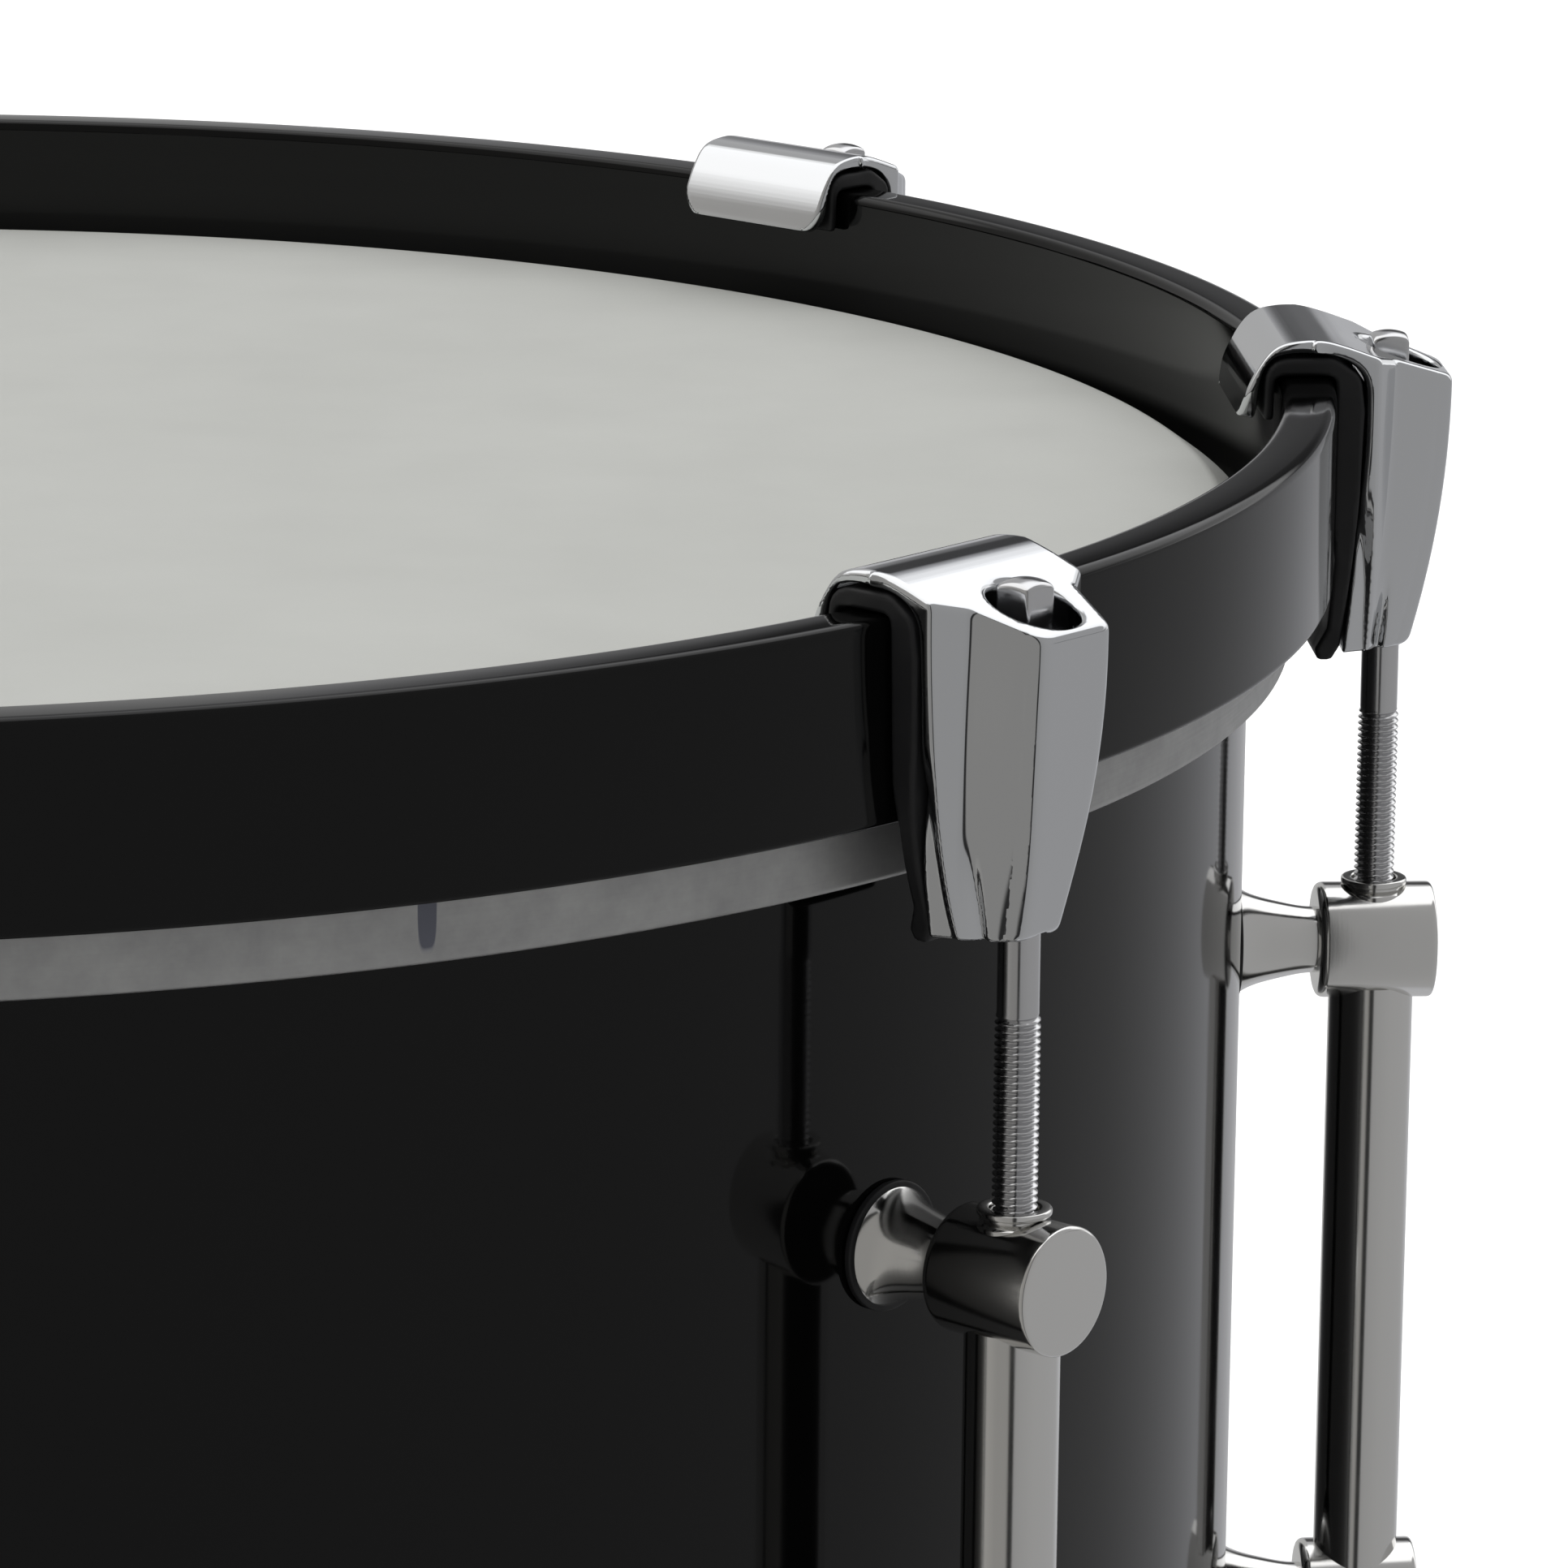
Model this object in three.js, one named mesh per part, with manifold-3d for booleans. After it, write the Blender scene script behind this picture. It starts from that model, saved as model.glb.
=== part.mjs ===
// A 14 x 8 inch snare drum with a lacquered wood shell, wood hoops held by claw hooks, and tube lugs.
// Millimetres, +Z up with the batter head on top. The origin is on the floor under the drum's centre,
// where the drum stands on the claws of its snare side. Azimuth 0 faces -Y and 90 faces +X.
import * as THREE from "three";
import { mergeVertices } from "three/addons/utils/BufferGeometryUtils.js";
import Module from "manifold-3d";

const wasm = await Module();
wasm.setup();

// ---------------------------------------------------------------- driving dimensions

const GAP = 0.3; // clearance between pieces that touch
const RING_SIDES = 56; // facets round the shell, hoops and heads
const ROUND_SIDES = 10; // facets round posts, tubes and rods
const BARREL_SIDES = 12; // facets round lug barrels and other short drums
const WELD = 1e-3; // vertices closer than this are one

const SHELL_RADIUS = 177.8;
const SHELL_WALL = 6.4;
const SHELL_DEPTH = 203.2;
const EDGE_RADIUS = 174.7; // peak of the bearing edge, where the head rests
const EDGE_ROUND = 3.2; // height of the bearing edge's cuts

const FILM = 0.3; // thickness of the head film
const HEAD_PLANE = SHELL_DEPTH / 2 + GAP + FILM; // outer face of each head, from the drum's middle
const HOOP_TOP = HEAD_PLANE + 13.8; // outer edge of each hoop, from the drum's middle
const HOOP_RADIUS = 187.8;
const HOOP_WALL = 6.6;
const HOOP_HEIGHT = 21.8;
const HOOP_ROUND = 1.3;
const FLESH_RADIUS = 182.8; // outside of the metal ring that the film is bonded into
const FLESH_HEIGHT = 7.5;

const LUG_COUNT = 8;
const LUG_STEP = 360 / LUG_COUNT;
const ROD_CIRCLE = 195.6; // radius of the circle that the tension rods stand on
const ROD_RADIUS = 2.5;
const ROD_BORE = ROD_RADIUS + 0.4;
const ROD_REACH = 92; // lower end of a rod, below the hoop's edge
const KEY_SQUARE = 5.4;
const KEY_TOP = 4.7; // top of the square key head, above the hoop's edge
const FLANGE_RADIUS = 4.1;
const FLANGE_TOP = -4.4;
const FLANGE_BASE = -6.1;

const BARREL_DROP = 72.9; // centre of a lug barrel, below the hoop's edge
const BARREL_RADIUS = 7.2;
const BARREL_INNER = 188.4;
const BARREL_OUTER = 203.2;
const POST_FOOT_RADIUS = 6.5;
const POST_WAIST_RADIUS = 4.9;
const POST_NECK_RADIUS = 4.4;
const TUBE_RADIUS = 5.25;
const COLLAR_RADIUS = 4.1;
const COLLAR_TOP = 8.1; // top of the flanged collar, above the barrel's axis

const CLAW_RISE = 5.1; // crown of a claw, above the hoop's edge
const CLAW_FOOT = -34;
const CLAW_HALF_WIDTH = 12.3;
const BOSS_HALF_WIDTH = 8.4;
const BOSS_FRONT = 202.9;
const WELL_RADIUS = 5.2; // round well that the key head stands in
const WELL_FLOOR = -7.2;
const PAD_HALF_WIDTH = 12.4;

const MIDDLE = HOOP_TOP + CLAW_RISE; // height of the drum's middle above the floor

const STRAINER_AZIMUTH = 337.5;
const BUTT_AZIMUTH = STRAINER_AZIMUTH - 180;
const VENT_AZIMUTH = 247.5;

const STRAP_THICKNESS = 0.5;
const STRAP_HALF_WIDTH = 12;
const STRAP_RADIAL = 191; // where a strap runs up the outside of the drum
const STRAP_BEND = 4;
const STRAP_END = -63.5; // upper end of a strap, from the drum's middle
const WIRES_LEVEL = -(HEAD_PLANE + 1.5);
const WIRES_THICKNESS = 2.2;
const WIRES_HALF_LENGTH = 152;
const WIRES_HALF_WIDTH = 21;
const PLATE_LENGTH = 12;
const PLATE_HALF_WIDTH = 23;
const PLATE_THICKNESS = 1.6;
const GATE_HALF_WIDTH = 30; // the hoop's cut-outs for the straps
const GATE_HEIGHT = 15;

const MOUNT_PLATE = 4; // thickness of the strainer's and butt's plates on the shell
const HOLDER_TOP = -14;
const HOLDER_BOTTOM = -84;
const HOLDER_HALF_WIDTH = 18.4;
const CHEEK_INNER = 15.1;
const CHEEK_FRONT = 199;
const SLIDER_HALF_WIDTH = 14.7;
const SLIDER_BACK = 184;
const SLIDER_FRONT = 200.5;
const SLIDER_TOP = -58;
const SLIDER_BOTTOM = -76;
const KNOB_RADIUS = 8;
const KNOB_AXIS = 195.6;
const KNOB_HEIGHT = 10;
const STEM_RADIUS = 2.4;
const STEM_LENGTH = 8;
const PIVOT_RADIAL = 192;
const PIVOT_HEIGHT = -30;
const PIVOT_RADIUS = 2.5;
const HUB_RADIUS = 7.2;
const LEVER_HALF_WIDTH = 9;
const LEVER_TOP = 17;
const BUTT_TOP = -46;
const SCREW_RADIUS = 3.6;
const SCREW_HEAD = 2.4;

const VENT_BORE_RADIUS = 4.75;
const VENT_BARREL_RADIUS = 6.2;
const VENT_FLANGE_RADIUS = 9.5;
const VENT_FLANGE = 1.1;

// ---------------------------------------------------------------- finishes

const finish = (color, roughness, metalness) =>
  new THREE.MeshStandardMaterial({ color, roughness, metalness });
const blackLacquer = finish(0x0d0d0e, 0.12, 0);
const drumhead = finish(0xc9c8c2, 0.75, 0);
const chrome = finish(0xd4d6d8, 0.12, 1);
const nickel = finish(0xbcbab5, 0.25, 1);
const steel = finish(0xb0b0ae, 0.3, 1);
const blackRubber = finish(0x121212, 0.7, 0);

// ---------------------------------------------------------------- solids

// A closed three.js geometry as a solid that can be joined and cut.
function solid(geometry) {
  const bare = geometry.index ? geometry.toNonIndexed() : geometry.clone();
  bare.deleteAttribute("normal");
  bare.deleteAttribute("uv");
  const welded = mergeVertices(bare, WELD);
  return new wasm.Manifold(
    new wasm.Mesh({
      numProp: 3,
      vertProperties: welded.attributes.position.array,
      triVerts: new Uint32Array(welded.index.array),
    }),
  );
}

// A profile of [radius, height] points turned about Z. Points run anticlockwise, up the outside.
function turned(profile, sides) {
  const points = profile.map(([radius, height]) => new THREE.Vector2(radius, height));
  return solid(new THREE.LatheGeometry(points, sides).rotateX(Math.PI / 2));
}

// A turned ring whose profile closes on itself.
const turnedRing = (profile, sides) => turned([...profile, profile[0]], sides);

// A round bar from one height to another, on a vertical axis at a radial distance.
function bar(radius, bottom, top, radial, sides = ROUND_SIDES) {
  const profile = [[0, bottom], [radius, bottom], [radius, top], [0, top]];
  return turned(profile, sides).translate([radial, 0, 0]);
}

// A turned solid whose axis points outwards; heights in the profile are distances from the drum's axis.
function turnedOutwards(profile, level, sides = ROUND_SIDES) {
  return turned(profile, sides).rotate([0, 90, 0]).translate([0, 0, level]);
}

// Outlines are drawn on one of three planes and pushed along the third direction.
const SIDE = new THREE.Matrix4().makeBasis(
  new THREE.Vector3(1, 0, 0),
  new THREE.Vector3(0, 0, 1),
  new THREE.Vector3(0, -1, 0),
); // [radial, height] outline, pushed across
const FRONT = new THREE.Matrix4().makeBasis(
  new THREE.Vector3(0, 1, 0),
  new THREE.Vector3(0, 0, 1),
  new THREE.Vector3(1, 0, 0),
); // [across, height] outline, pushed outwards
const PLAN = new THREE.Matrix4(); // [radial, across] outline, pushed upwards

function prism(plane, outline, from, to) {
  const shape = outline instanceof THREE.Shape
    ? outline
    : new THREE.Shape(outline.map(([x, y]) => new THREE.Vector2(x, y)));
  const options = { depth: to - from, bevelEnabled: false, curveSegments: 4 };
  const geometry = new THREE.ExtrudeGeometry(shape, options);
  return solid(geometry.translate(0, 0, from).applyMatrix4(plane));
}

// A side outline with the same reach on both sides of the radial plane.
const across = (outline, halfWidth) => prism(SIDE, outline, -halfWidth, halfWidth);

// A right-handed box from its two corners [radial, across, height].
function block([x0, y0, z0], [x1, y1, z1]) {
  const box = new THREE.BoxGeometry(x1 - x0, y1 - y0, z1 - z0);
  return solid(box.translate((x0 + x1) / 2, (y0 + y1) / 2, (z0 + z1) / 2));
}

// A half outline of [half width, height] points, mirrored into a whole one.
const mirrored = (half) => [...half, ...half.map(([x, y]) => [-x, y]).reverse()];

// ---------------------------------------------------------------- the scene graph

const drum = new THREE.Group();

// A place on the drum: local X points outwards, local Z up, and the origin is the drum's middle.
// On the snare side the whole place is turned over about its outward axis.
function station(azimuth, side = "batter") {
  const place = new THREE.Group();
  place.position.z = MIDDLE;
  place.rotation.z = THREE.MathUtils.degToRad(azimuth - 90);
  drum.add(place);
  if (side === "batter") return place;
  const turnedOver = new THREE.Group();
  turnedOver.rotation.x = Math.PI;
  place.add(turnedOver);
  return turnedOver;
}

function put(place, name, body, material) {
  const cut = body.getMesh();
  const geometry = new THREE.BufferGeometry();
  geometry.setAttribute("position", new THREE.BufferAttribute(cut.vertProperties, 3));
  geometry.setIndex(new THREE.BufferAttribute(cut.triVerts, 1));
  geometry.computeVertexNormals();
  const mesh = new THREE.Mesh(geometry, material);
  mesh.name = name;
  place.add(mesh);
}

// ---------------------------------------------------------------- shell, heads and hoops

// The shell, with a bearing edge at each end and a hole for the vent.
function shell() {
  const half = SHELL_DEPTH / 2;
  const inner = SHELL_RADIUS - SHELL_WALL;
  const outer = turnedRing([
    [inner, -half + EDGE_ROUND],
    [EDGE_RADIUS, -half],
    [EDGE_RADIUS + 1.9, -half + 1.3],
    [SHELL_RADIUS, -half + EDGE_ROUND],
    [SHELL_RADIUS, half - EDGE_ROUND],
    [EDGE_RADIUS + 1.9, half - 1.3],
    [EDGE_RADIUS, half],
    [inner, half - EDGE_ROUND],
  ], RING_SIDES);
  const holeRadius = VENT_BARREL_RADIUS + GAP;
  const hole = turnedOutwards([
    [0, inner - 5],
    [holeRadius, inner - 5],
    [holeRadius, SHELL_RADIUS + 5],
    [0, SHELL_RADIUS + 5],
  ], 0, BARREL_SIDES);
  return outer.subtract(hole.rotate([0, 0, VENT_AZIMUTH - 90]));
}

// A head: the film over the bearing edge, and the flesh ring that it is bonded into.
function head() {
  const ringTop = HOOP_TOP - HOOP_HEIGHT - GAP;
  const ringBottom = ringTop - FLESH_HEIGHT;
  return turned([
    [0, HEAD_PLANE - FILM],
    [EDGE_RADIUS - 0.1, HEAD_PLANE - FILM],
    [SHELL_RADIUS + 0.5, HEAD_PLANE - 2.6],
    [SHELL_RADIUS + 1.1, ringTop],
    [SHELL_RADIUS + 1.2, ringBottom],
    [FLESH_RADIUS, ringBottom],
    [FLESH_RADIUS, ringTop],
    [SHELL_RADIUS + 1.4, ringTop],
    [SHELL_RADIUS + 0.9, HEAD_PLANE - 2.4],
    [EDGE_RADIUS, HEAD_PLANE],
    [0, HEAD_PLANE],
  ], RING_SIDES);
}

function hoop() {
  const inner = HOOP_RADIUS - HOOP_WALL;
  return turnedRing([
    [inner, HOOP_TOP - HOOP_HEIGHT],
    [HOOP_RADIUS, HOOP_TOP - HOOP_HEIGHT],
    [HOOP_RADIUS, HOOP_TOP - HOOP_ROUND],
    [HOOP_RADIUS - HOOP_ROUND, HOOP_TOP],
    [inner + HOOP_ROUND, HOOP_TOP],
    [inner, HOOP_TOP - HOOP_ROUND],
  ], RING_SIDES);
}

// The snare side's hoop has a gate at the strainer and one at the butt, for the straps.
function gatedHoop() {
  const reach = HOOP_RADIUS + 10;
  const gates = block(
    [-reach, -GATE_HALF_WIDTH, HOOP_TOP - GATE_HEIGHT],
    [reach, GATE_HALF_WIDTH, HOOP_TOP + 5],
  );
  return hoop().subtract(gates);
}

// ---------------------------------------------------------------- claws, pads, rods and lugs

// A die-cast claw: a hood over the hoop, a back plate down its outside, and a boss round the rod.
function claw() {
  const archAndPlate = across([
    [175.7, -4.2],
    [178.2, -5.2],
    [178.6, 0.8],
    [180.4, 3.1],
    [187, 3.2],
    [190.6, 1.2],
    [191.6, -3],
    [191.3, -14],
    [189.9, CLAW_FOOT],
    [191.8, CLAW_FOOT],
    [193.4, -14],
    [193.2, 2.6],
    [189, 4.3],
    [185.9, CLAW_RISE],
    [183.1, CLAW_RISE],
    [180.6, 4.5],
    [178.9, 3],
    [177, -0.6],
  ], CLAW_HALF_WIDTH);
  const plateOutline = mirrored([
    [7.8, CLAW_FOOT - 1],
    [10.2, -23.9],
    [11.7, -13.8],
    [CLAW_HALF_WIDTH, -4],
    [CLAW_HALF_WIDTH, CLAW_RISE + 1],
  ]);
  const bossSide = across([
    [190.4, CLAW_FOOT],
    [199, CLAW_FOOT],
    [200.6, -25.3],
    [BOSS_FRONT, -4.5],
    [BOSS_FRONT, -1],
    [192, 3.3],
    [191.9, -14],
  ], BOSS_HALF_WIDTH);
  const bossPlan = mirrored([
    [-BOSS_HALF_WIDTH, 190],
    [-BOSS_HALF_WIDTH, 196.5],
    [-6.2, 202],
    [-5, BOSS_FRONT + 0.1],
  ]).map(([y, x]) => [x, y]);
  const bossFront = mirrored([
    [4.6, CLAW_FOOT - 1],
    [7, -24],
    [BOSS_HALF_WIDTH, -8],
    [BOSS_HALF_WIDTH, CLAW_RISE + 1],
  ]);
  const boss = bossSide
    .intersect(prism(PLAN, bossPlan, CLAW_FOOT - 1, CLAW_RISE + 1))
    .intersect(prism(FRONT, bossFront, 189, BOSS_FRONT + 1));
  return archAndPlate
    .intersect(prism(FRONT, plateOutline, 170, BOSS_FRONT))
    .add(boss)
    .subtract(bar(ROD_BORE, CLAW_FOOT - 1, 0, ROD_CIRCLE))
    .subtract(bar(WELL_RADIUS, WELL_FLOOR, CLAW_RISE + 1, ROD_CIRCLE))
    .translate([0, 0, HOOP_TOP]);
}

// The rubber pad between a claw and the hoop, hooked over the hoop like the claw.
function pad() {
  const outline = across([
    [178.9, -4.6],
    [180.2, -4.6],
    [180.2, -1.2],
    [182.2, 0.4],
    [186.8, 0.4],
    [188.2, -1],
    [188.2, -28.9],
    [187, -32.5],
    [185.4, -33.9],
    [186.4, -35.3],
    [188.4, -35.3],
    [189.5, -33.6],
    [191, -14],
    [191.3, -3],
    [190.3, 1],
    [186.9, 2.9],
    [180.6, 2.8],
    [178.9, 0.6],
  ], PAD_HALF_WIDTH);
  const front = mirrored([
    [9, -36],
    [10, -30],
    [PAD_HALF_WIDTH, -12],
    [PAD_HALF_WIDTH, 4],
  ]);
  return outline.intersect(prism(FRONT, front, 170, 195)).translate([0, 0, HOOP_TOP]);
}

// A tension rod: square key head, flange and shank.
function rod() {
  const half = KEY_SQUARE / 2;
  return block([ROD_CIRCLE - half, -half, FLANGE_TOP], [ROD_CIRCLE + half, half, KEY_TOP])
    .add(bar(FLANGE_RADIUS, FLANGE_BASE, FLANGE_TOP, ROD_CIRCLE))
    .add(bar(ROD_RADIUS, -ROD_REACH, FLANGE_BASE, ROD_CIRCLE))
    .translate([0, 0, HOOP_TOP]);
}

// A tube lug: two barrels on flared posts, joined by a tube, with a collar at each rod.
function lug() {
  const level = HOOP_TOP - BARREL_DROP;
  const foot = SHELL_RADIUS + GAP;
  const barrel = turnedOutwards([
    [0, foot],
    [POST_FOOT_RADIUS, foot],
    [POST_FOOT_RADIUS - 0.3, foot + 1.2],
    [POST_WAIST_RADIUS, foot + 5.6],
    [POST_NECK_RADIUS, BARREL_INNER],
    [BARREL_RADIUS, BARREL_INNER],
    [BARREL_RADIUS, BARREL_OUTER],
    [0, BARREL_OUTER],
  ], 0, BARREL_SIDES);
  const boreEnd = HOOP_TOP - ROD_REACH - 2;
  const collarTop = level + COLLAR_TOP;
  return barrel.translate([0, 0, level])
    .add(barrel.translate([0, 0, -level]))
    .add(bar(TUBE_RADIUS, -level, level, ROD_CIRCLE))
    .add(bar(COLLAR_RADIUS, -collarTop, -level, ROD_CIRCLE))
    .add(bar(COLLAR_RADIUS, level, collarTop, ROD_CIRCLE))
    .subtract(bar(ROD_BORE, boreEnd, collarTop + 1, ROD_CIRCLE))
    .subtract(bar(ROD_BORE, -collarTop - 1, -boreEnd, ROD_CIRCLE));
}

// ---------------------------------------------------------------- snares, strainer and butt

// The side outline of a strap: outwards under the head, a bend, and up to its clamp.
function strapOutline(from) {
  const half = STRAP_THICKNESS / 2;
  const centre = [STRAP_RADIAL - STRAP_BEND, WIRES_LEVEL + STRAP_BEND];
  const shape = new THREE.Shape();
  shape.moveTo(from, WIRES_LEVEL - half);
  shape.lineTo(centre[0], WIRES_LEVEL - half);
  shape.absarc(...centre, STRAP_BEND + half, -Math.PI / 2, 0, false);
  shape.lineTo(STRAP_RADIAL + half, STRAP_END);
  shape.lineTo(STRAP_RADIAL - half, STRAP_END);
  shape.absarc(...centre, STRAP_BEND - half, 0, -Math.PI / 2, true);
  shape.lineTo(from, WIRES_LEVEL + half);
  return shape;
}

// The snare wires' band, their end plates, and the strap that holds each end.
function snareWires() {
  const halfBand = WIRES_THICKNESS / 2;
  const halfPlate = PLATE_THICKNESS / 2;
  const end = WIRES_HALF_LENGTH;
  const band = block(
    [-end, -WIRES_HALF_WIDTH, WIRES_LEVEL - halfBand],
    [end, WIRES_HALF_WIDTH, WIRES_LEVEL + halfBand],
  );
  const plate = block(
    [end - 2, -PLATE_HALF_WIDTH, WIRES_LEVEL - halfPlate],
    [end + PLATE_LENGTH, PLATE_HALF_WIDTH, WIRES_LEVEL + halfPlate],
  );
  const strap = across(strapOutline(end), STRAP_HALF_WIDTH);
  const oneEnd = plate.add(strap);
  return band.add(oneEnd).add(oneEnd.rotate([0, 0, 180]));
}

// The slot that a strap runs up in, through a block from below its bottom to above its top.
function strapSlot(bottom, top) {
  const half = STRAP_THICKNESS / 2 + 0.35;
  return block(
    [STRAP_RADIAL - half, -STRAP_HALF_WIDTH - 0.4, bottom - 1],
    [STRAP_RADIAL + half, STRAP_HALF_WIDTH + 0.4, top + 1],
  );
}

// A plate on the shell. Its back is hollowed to the shell's curve.
function mountPlate(bottom, top, front) {
  const plate = block(
    [SHELL_RADIUS - 3, -HOLDER_HALF_WIDTH, bottom],
    [front, HOLDER_HALF_WIDTH, top],
  );
  return plate.subtract(bar(SHELL_RADIUS + GAP, bottom - 1, top + 1, 0, 2 * RING_SIDES));
}

// The strainer's base: its plate, two cheeks that guide the slider, and the lever's pivot pin.
function strainerBase() {
  const plateFront = SHELL_RADIUS + MOUNT_PLATE;
  const cheek = block(
    [plateFront - 1, CHEEK_INNER, HOLDER_BOTTOM + 4],
    [CHEEK_FRONT, HOLDER_HALF_WIDTH, PIVOT_HEIGHT + HUB_RADIUS],
  );
  const pin = bar(PIVOT_RADIUS, -HOLDER_HALF_WIDTH, HOLDER_HALF_WIDTH, 0).rotate([90, 0, 0]);
  return mountPlate(HOLDER_BOTTOM, HOLDER_TOP, plateFront)
    .add(cheek)
    .add(cheek.translate([0, -CHEEK_INNER - HOLDER_HALF_WIDTH, 0]))
    .add(pin.translate([PIVOT_RADIAL, 0, PIVOT_HEIGHT]));
}

// The slider that clamps the strap and travels down when the lever is thrown.
function slider() {
  const body = block(
    [SLIDER_BACK, -SLIDER_HALF_WIDTH, SLIDER_BOTTOM],
    [SLIDER_FRONT, SLIDER_HALF_WIDTH, SLIDER_TOP],
  );
  const stemHole = bar(STEM_RADIUS + 0.35, SLIDER_TOP - STEM_LENGTH, SLIDER_TOP + 1, KNOB_AXIS);
  return body.subtract(strapSlot(SLIDER_BOTTOM, SLIDER_TOP)).subtract(stemHole);
}

// The knob that sets the wires' tension, with the top of its screw.
function knob() {
  const bottom = SLIDER_TOP + 1.5;
  return bar(KNOB_RADIUS, bottom, bottom + KNOB_HEIGHT, KNOB_AXIS, 2 * BARREL_SIDES)
    .add(bar(STEM_RADIUS, SLIDER_TOP - STEM_LENGTH + 1, bottom, KNOB_AXIS));
}

// The throw-off lever: a hub on the pivot and an arm that stands up while the snares are on.
function lever() {
  const hub = bar(HUB_RADIUS, -SLIDER_HALF_WIDTH, SLIDER_HALF_WIDTH, 0, BARREL_SIDES);
  const bore = bar(PIVOT_RADIUS + 0.4, -HOLDER_HALF_WIDTH, HOLDER_HALF_WIDTH, 0);
  const arm = across([
    [193, PIVOT_HEIGHT],
    [198.6, PIVOT_HEIGHT],
    [198.2, -8],
    [202, LEVER_TOP - 2],
    [200.6, LEVER_TOP],
    [198.4, LEVER_TOP - 1],
    [194.2, -8],
  ], LEVER_HALF_WIDTH);
  return hub.subtract(bore).rotate([90, 0, 0])
    .translate([PIVOT_RADIAL, 0, PIVOT_HEIGHT])
    .add(arm.subtract(bore.rotate([90, 0, 0]).translate([PIVOT_RADIAL, 0, PIVOT_HEIGHT])));
}

// The butt: a plate and a block that clamps the far strap with two screws.
function butt() {
  const top = BUTT_TOP - 4;
  const plateFront = SHELL_RADIUS + MOUNT_PLATE;
  const body = block(
    [plateFront - 1, -CHEEK_INNER, HOLDER_BOTTOM + 4],
    [CHEEK_FRONT, CHEEK_INNER, top],
  );
  const screw = turnedOutwards([
    [0, CHEEK_FRONT - 1],
    [SCREW_RADIUS, CHEEK_FRONT - 1],
    [SCREW_RADIUS, CHEEK_FRONT + SCREW_HEAD],
    [0, CHEEK_FRONT + SCREW_HEAD],
  ], -66);
  return mountPlate(HOLDER_BOTTOM, BUTT_TOP, plateFront)
    .add(body)
    .add(screw.translate([0, -8, 0]))
    .add(screw.translate([0, 8, 0]))
    .subtract(strapSlot(HOLDER_BOTTOM, top));
}

// The vent's metal eyelet, from the inside of the shell to a flange on its outside.
function ventGrommet() {
  const inside = SHELL_RADIUS - SHELL_WALL;
  const face = SHELL_RADIUS + GAP;
  return turnedOutwards([
    [VENT_BORE_RADIUS, inside],
    [VENT_BARREL_RADIUS, inside],
    [VENT_BARREL_RADIUS, face],
    [VENT_FLANGE_RADIUS, face],
    [VENT_FLANGE_RADIUS - 0.6, face + VENT_FLANGE],
    [VENT_BORE_RADIUS, face + VENT_FLANGE],
    [VENT_BORE_RADIUS, inside],
  ], 0, BARREL_SIDES);
}

// ---------------------------------------------------------------- assembly

const SIDES = ["batter", "snare"];
const upright = station(90);
const turnedOver = station(90, "snare");

put(upright, "shell", shell(), blackLacquer);
put(upright, "batter_head", head(), drumhead);
put(turnedOver, "snare_head", head(), drumhead);
put(upright, "batter_hoop", hoop(), blackLacquer);
put(station(BUTT_AZIMUTH, "snare"), "snare_hoop", gatedHoop(), blackLacquer);

for (let i = 0; i < LUG_COUNT; i++) {
  const azimuth = i * LUG_STEP;
  const label = `${i + 1}`;
  put(station(azimuth), `lug_${label}`, lug(), nickel);
  put(station(azimuth), `claw_pad_${label}`, pad(), blackRubber);
  for (const side of SIDES) {
    const place = station(azimuth, side);
    put(place, `${side}_claw_${label}`, claw(), chrome);
    put(place, `${side}_rod_${label}`, rod(), steel);
  }
}

const strainer = station(STRAINER_AZIMUTH);
put(strainer, "snare_wires", snareWires(), steel);
put(strainer, "strainer_base", strainerBase(), chrome);
put(strainer, "strap_slider", slider(), chrome);
put(strainer, "tension_knob", knob(), chrome);
put(strainer, "throw_off_lever", lever(), chrome);
put(station(BUTT_AZIMUTH), "butt_plate", butt(), chrome);
put(station(VENT_AZIMUTH), "vent_grommet", ventGrommet(), nickel);

export default drum;
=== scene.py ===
"""A 14 x 8 inch snare drum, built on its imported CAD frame.

The functions that end in _surface work in millimetres in a station's frame: X points outwards, Z up, and
the origin is the drum's middle, unless a comment says otherwise. On the snare side a station is turned
over about X, so both sides share their meshes.
"""
import math
from itertools import product

import bpy
import numpy as np
from mathutils import Matrix, Vector


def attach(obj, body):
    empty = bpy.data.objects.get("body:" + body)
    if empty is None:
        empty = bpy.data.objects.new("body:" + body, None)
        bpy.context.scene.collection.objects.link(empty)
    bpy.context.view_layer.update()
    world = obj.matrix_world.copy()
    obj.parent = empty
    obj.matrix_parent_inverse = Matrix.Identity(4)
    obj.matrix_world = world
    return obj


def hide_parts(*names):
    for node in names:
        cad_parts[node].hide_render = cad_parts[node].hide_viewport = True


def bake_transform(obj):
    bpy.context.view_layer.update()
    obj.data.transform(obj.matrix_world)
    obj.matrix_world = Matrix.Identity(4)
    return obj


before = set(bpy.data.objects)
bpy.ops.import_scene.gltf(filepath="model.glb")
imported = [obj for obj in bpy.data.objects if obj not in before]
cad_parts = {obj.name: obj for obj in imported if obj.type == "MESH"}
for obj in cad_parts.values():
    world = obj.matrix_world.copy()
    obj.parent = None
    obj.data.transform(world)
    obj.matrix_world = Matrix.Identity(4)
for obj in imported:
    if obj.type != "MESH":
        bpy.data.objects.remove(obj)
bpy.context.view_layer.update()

# ---------------------------------------------------------------- driving dimensions

MM = 0.001
GAP = 0.3
LUGS = 8
RING = 288  # columns of a surface turned about the drum's axis

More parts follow.
